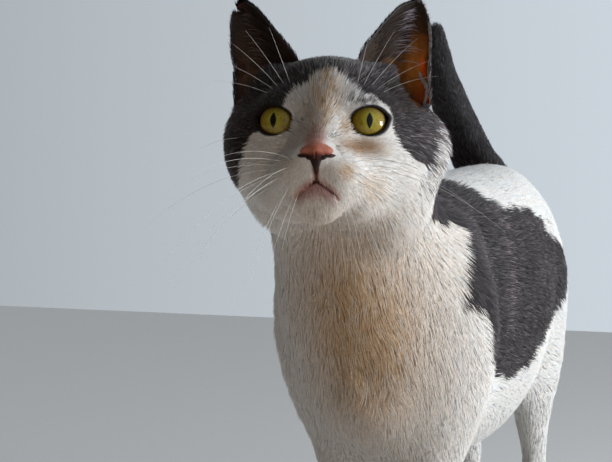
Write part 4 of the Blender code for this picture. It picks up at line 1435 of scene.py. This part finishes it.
def ear_wisps(name, side, chance):
    """The long fine hairs inside an ear: each leaves the front edge, climbs, and bends over towards the
    outer edge, dark at its root and pale along its arch."""
    n = 62 if side > 0 else 40
    v0 = chance.uniform(0.08, 0.52, n)
    u0 = np.clip(0.20 - 0.40 * (v0 - 0.12) + chance.normal(0, 0.05, n), 0.02, 0.4)
    reach, climb = chance.uniform(0.35, 0.66, n), chance.uniform(0.32, 0.42, n)
    lift = chance.uniform(0.4, 2.2, n)
    t = np.linspace(0, 1, WISP_RINGS)
    u = np.clip(u0[:, None] + reach[:, None] * t**1.6, 0.02, 0.97)
    v = np.clip(v0[:, None] + climb[:, None] * (2 * t - t * t), 0.0, 0.98)
    p, back, _, _ = ear_frame(u, v, side)
    path = from_head(p - back * (0.2 + lift[:, None] * t)[..., None])
    thick = (0.085 * (1 - t) ** 0.5 + 0.02) * np.ones((n, 1))
    piece = hair_tubes(name, path, thick, WISP_SIDES)
    pale = np.array((0.56, 0.50, 0.57)) if side > 0 else np.array((0.20, 0.155, 0.13))
    along = np.repeat(np.tile(ramp(t, 0.4, 0.8), n), WISP_SIDES)
    along = np.concatenate((along, np.zeros(n), np.ones(n)))
    tone = np.concatenate((np.repeat(chance.normal(1.0, 0.25, n), WISP_RINGS * WISP_SIDES), np.ones(2 * n)))
    set_colours(piece, mixed(np.broadcast_to(EAR_BROWN, (len(along), 3)), pale, along) * tone[:, None])
    return piece


POUCH_LINE = ((0.83, 0.37), (0.93, 0.31), (0.975, 0.28), (0.95, 0.18), (0.93, 0.11))


def ear_coat(side, chance):
    """All the hair of one ear, as rows for the tuft mesh: on its back, inside, on its edges, and on the
    left ear's pouch."""
    n = 5000
    u, v = chance.uniform(0.0, 1.0, n), chance.uniform(0.06, 1.0, n) ** 0.9
    tone = chance.normal(1.0, 0.2, n)[:, None] * GREY_HAIR
    if side < 0:
        v = np.where((u > 0.4) & (v > 0.84) & (v < 0.95), v - 0.14, v)
    ways = (0.15 * chance.normal(size=n), 1.0)
    sizes = ((3.2, 5.0), (0.3, 0.5), (0.3, 0.7))
    sets = [ear_tufts(side, (u, v), True, ways, sizes, (tone * 0.75, tone * 1.3), chance)]
    n = 2200
    u, v = chance.uniform(0.04, 0.97, n), chance.uniform(0.34, 0.99 if side > 0 else 0.86, n)
    if side > 0:
        u = np.where((u > 0.5) & (v < 0.66), 0.5 * u, u)
    brown = chance.normal(1.0, 0.25, n)[:, None] * EAR_BROWN * (0.6 + 0.8 * ramp(u, 0.15, 0.6))[:, None]
    ways = (0.9 + 0.3 * chance.normal(size=n), 0.35 + 0.3 * chance.normal(size=n))
    sizes = ((2.5, 5.0), (0.10, 0.18), (0.2, 0.6))
    sets.append(ear_tufts(side, (u, v), False, ways, sizes, (brown, brown * 1.7), chance))
    n = 1100
    v = chance.uniform(0.16, 0.99, n)
    outer = (chance.uniform(size=n) < 0.5) & ((side > 0) | (v < 0.84))
    u = np.where(outer, chance.uniform(0.97, 0.998, n), chance.uniform(0.002, 0.03, n))
    bright = outer & (v < 0.78) & (chance.uniform(size=n) < (0.75 if side > 0 else 0.10))
    tone = np.where(bright, 0.62, 0.05)[:, None] * np.array((1.0, 0.94, 0.92))
    on_back = chance.uniform(size=n) < 0.5
    ways = (np.where(outer, 0.5, -0.5) * chance.uniform(0.1, 0.8, n), 1.0)
    sizes = ((2.0, 3.6), (0.16, 0.28), (0.1, 0.5))
    sets.append(ear_tufts(side, (u, v), on_back, ways, sizes, (tone * 0.8, tone * 1.2), chance))
    if side > 0:
        n = 420
        place = chance.uniform(0, len(POUCH_LINE) - 1, n)
        u, v = [np.interp(place, np.arange(len(POUCH_LINE)), column) for column in np.transpose(POUCH_LINE)]
        pale = chance.normal(1.0, 0.08, n)[:, None] * np.array((0.78, 0.75, 0.76))
        places = (u + chance.normal(0, 0.008, n), v + chance.normal(0, 0.008, n))
        ways = (0.2 * chance.normal(size=n), -1.0)
        sizes = ((1.8, 3.2), (0.22, 0.34), (0.4, 1.4))
        sets.append(ear_tufts(side, places, False, ways, sizes, (pale * 0.9, pale), chance))
    return [np.concatenate(column) for column in zip(*sets)]


for side, name in SIDES:
    piece = tufted("coat_ear_" + name, *ear_coat(side, np.random.default_rng(50 + side)))
    coat.on(piece)
    wisps = ear_wisps("ear_wisps_" + name, side, np.random.default_rng(60 + side))
    coat.on(wisps)
    for grown in (piece, wisps):
        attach(grown, "root")


# ---- Whiskers ---------------------------------------------------------------------------------
# Whiskers are long stiff white hairs, thick at the root and drawn out to a fine tip. They stand in three
# rows on each side of the muzzle with shorter ones under the lip, and a few over each eye and on the cheek.

WHISKER_SIDES = 6
WHISKER_RINGS = 22
WHISKER_RADIUS = 0.075
WHISKER_WHITE = (0.76, 0.74, 0.72)
# Root in the head's frame, direction, length, droop at the tip, for the left side.
MUZZLE_WHISKERS = (
    ((13, -27, -21.5), (0.80, -0.55, 0.10), 40, 0.34),
    ((15, -24, -23), (0.78, -0.60, 0.06), 55, 0.36),
    ((17, -20, -24), (0.90, -0.38, 0.04), 64, 0.40),
    ((19, -16, -25), (0.97, -0.12, 0.00), 66, 0.44),
    ((12, -27, -25.5), (0.60, -0.70, -0.30), 40, 0.44),
    ((14.5, -23.5, -26.5), (0.74, -0.58, -0.28), 56, 0.46),
    ((17, -19, -27.5), (0.88, -0.34, -0.30), 62, 0.48),
    ((14, -24, -29), (0.62, -0.62, -0.40), 52, 0.48),
    ((16, -20, -30), (0.80, -0.38, -0.42), 60, 0.50),
    ((18, -16, -31), (0.90, -0.10, -0.40), 58, 0.52),
    ((12, -24, -33), (0.36, -0.55, -0.80), 44, 0.40),
    ((15, -19, -35), (0.45, -0.30, -0.85), 48, 0.40),
    ((8, -24, -36), (0.20, -0.50, -0.90), 30, 0.35),
    ((11, -20, -38), (0.28, -0.30, -0.95), 34, 0.35),
)
BROW_WHISKERS = (
    ((15, 0, 16), (0.30, -0.45, 0.85), 32, 0.06),
    ((17, 1, 16), (0.50, -0.35, 0.80), 38, 0.10),
    ((19, 2, 15), (0.68, -0.25, 0.70), 38, 0.14),
    ((21, 3, 15), (0.80, -0.20, 0.55), 34, 0.16),
    ((23, 3, 14), (0.86, -0.15, 0.45), 30, 0.20),
    ((37, 2, -6), (0.90, -0.10, 0.10), 20, 0.25),
)


def on_hide(points, way):
    """Points moved along their own ways to where they meet the hide."""
    travel = np.linspace(-14, 14, 113)
    line = points[:, None] + way[:, None] * travel[:, None]
    inside = hide_distance(line.reshape(-1, 3)).reshape(len(points), -1) < 0
    last = inside.shape[1] - 1 - np.argmax(inside[:, ::-1], axis=1)
    return line[np.arange(len(points)), last]


def whisker_mesh(name, rows, side, chance):
    """Each whisker is a round section carried along a parabola that droops, its radius falling to a point
    at the tip."""
    start, way, size, droop = [np.array([row[i] for row in rows], float) for i in range(4)]
    way = unit_rows(way * (side, 1, 1) + chance.normal(0, 0.05, way.shape))
    size = size * chance.uniform(0.92, 1.05, len(size))
    way = way @ HEAD_TURN.T
    start = on_hide(from_head(start * (side, 1, 1)), way) - 0.8 * way
    t = np.linspace(0, 1, WHISKER_RINGS)[None, :, None]
    sag = droop[:, None, None] * np.array((0.0, 0.0, 1.0)) * t**2
    path = start[:, None] + size[:, None, None] * (way[:, None] * t - sag)
    thick = WHISKER_RADIUS * (1.0 - t[..., 0]) ** 0.7 + 0.02
    piece = hair_tubes(name, path, np.broadcast_to(thick, path.shape[:2]), WHISKER_SIDES)
    set_colours(piece, np.broadcast_to(WHISKER_WHITE, (len(piece.data.vertices), 3)))
    return piece


bristle = Finish("Whisker", 0.35, mottle=(0.94, 1.04))
for side, name in SIDES:
    chance = np.random.default_rng(70 + side)
    whiskers = whisker_mesh(f"whiskers_{name}", MUZZLE_WHISKERS, side, chance)
    brows = whisker_mesh(f"brow_whiskers_{name}", BROW_WHISKERS, side, chance)
    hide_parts(*[f"whisker_{name}_{i}" for i in range(1, 7)])
    for piece in (whiskers, brows):
        bristle.on(piece)
        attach(piece, "root")


# ---- Stage ------------------------------------------------------------------------------------
# A plain pale floor that ends a little under a metre behind the animal, in a room that is bright on
# its left and behind, and dim in front. The key is on its left, with a weak warm light low in front.

FLOOR_REACH = 4000.0
FLOOR_END = 1150.0
across, back = (-FLOOR_REACH, FLOOR_REACH), (-FLOOR_REACH, FLOOR_END)
floor_corners = [(across[i], back[j], 0.0) for i, j in ((0, 0), (1, 0), (1, 1), (0, 1))]
floor = new_mesh("floor", np.array(floor_corners), np.array(((0, 1, 2, 3),)))
ground = bpy.data.materials.new("Floor")
ground.use_nodes = True
plain = ground.node_tree.nodes["Principled BSDF"].inputs
plain["Base Color"].default_value = (0.80, 0.79, 0.77, 1)
plain["Roughness"].default_value = 0.85
floor.data.materials.append(ground)


def lamp(name, place, target, size, power, colour):
    """A square area light that faces its target."""
    data = bpy.data.lights.new(name, "AREA")
    data.size, data.energy, data.color = size, power, colour
    light = bpy.data.objects.new(name, data)
    bpy.context.scene.collection.objects.link(light)
    light.location = place
    light.rotation_mode = "QUATERNION"
    away = light.location - Vector(target)
    light.rotation_quaternion = away.to_track_quat("Z", "Y")


lamp("Key", (1.15, -0.10, 0.40), (0.03, -0.15, 0.20), 0.28, 11.5, (0.96, 0.98, 1.0))
lamp("Bounce", (0.05, -0.70, 0.04), (0.03, -0.18, 0.10), 0.5, 0.36, (1.0, 0.62, 0.30))
world = bpy.data.worlds.new("World")
world.use_nodes = True
nodes, links = world.node_tree.nodes, world.node_tree.links
way = nodes.new("ShaderNodeTexCoord")
towards = nodes.new("ShaderNodeVectorMath")
towards.operation = "DOT_PRODUCT"
towards.inputs[1].default_value = (0.8, 0.6, 0.0)
front_to_back = nodes.new("ShaderNodeMapRange")
front_to_back.inputs["From Min"].default_value, front_to_back.inputs["From Max"].default_value = -0.35, 0.95
room = nodes.new("ShaderNodeMix")
room.data_type = "RGBA"
room.inputs["A"].default_value = (0.074, 0.060, 0.046, 1)
room.inputs["B"].default_value = (0.94, 1.05, 1.15, 1)
links.new(way.outputs["Generated"], towards.inputs[0])
links.new(towards.outputs["Value"], front_to_back.inputs["Value"])
links.new(front_to_back.outputs["Result"], room.inputs["Factor"])
links.new(room.outputs["Result"], nodes["Background"].inputs["Color"])
bpy.context.scene.view_settings.view_transform = "Standard"
bpy.context.scene.world = world

CAMERA_AT = (0.34417, -1.24425, 0.324)
CAMERA_TURN = math.radians(19.0)
CAMERA_DIP = math.radians(5.0)
camera = bpy.data.objects.new("Camera", bpy.data.cameras.new("Camera"))
bpy.context.scene.collection.objects.link(camera)
camera.data.sensor_width = 36.0
camera.data.lens = 129.4
camera.data.clip_start = 0.05
camera.location = CAMERA_AT
camera.rotation_euler = (math.pi / 2 - CAMERA_DIP, 0.0, CAMERA_TURN)
bpy.context.scene.camera = camera
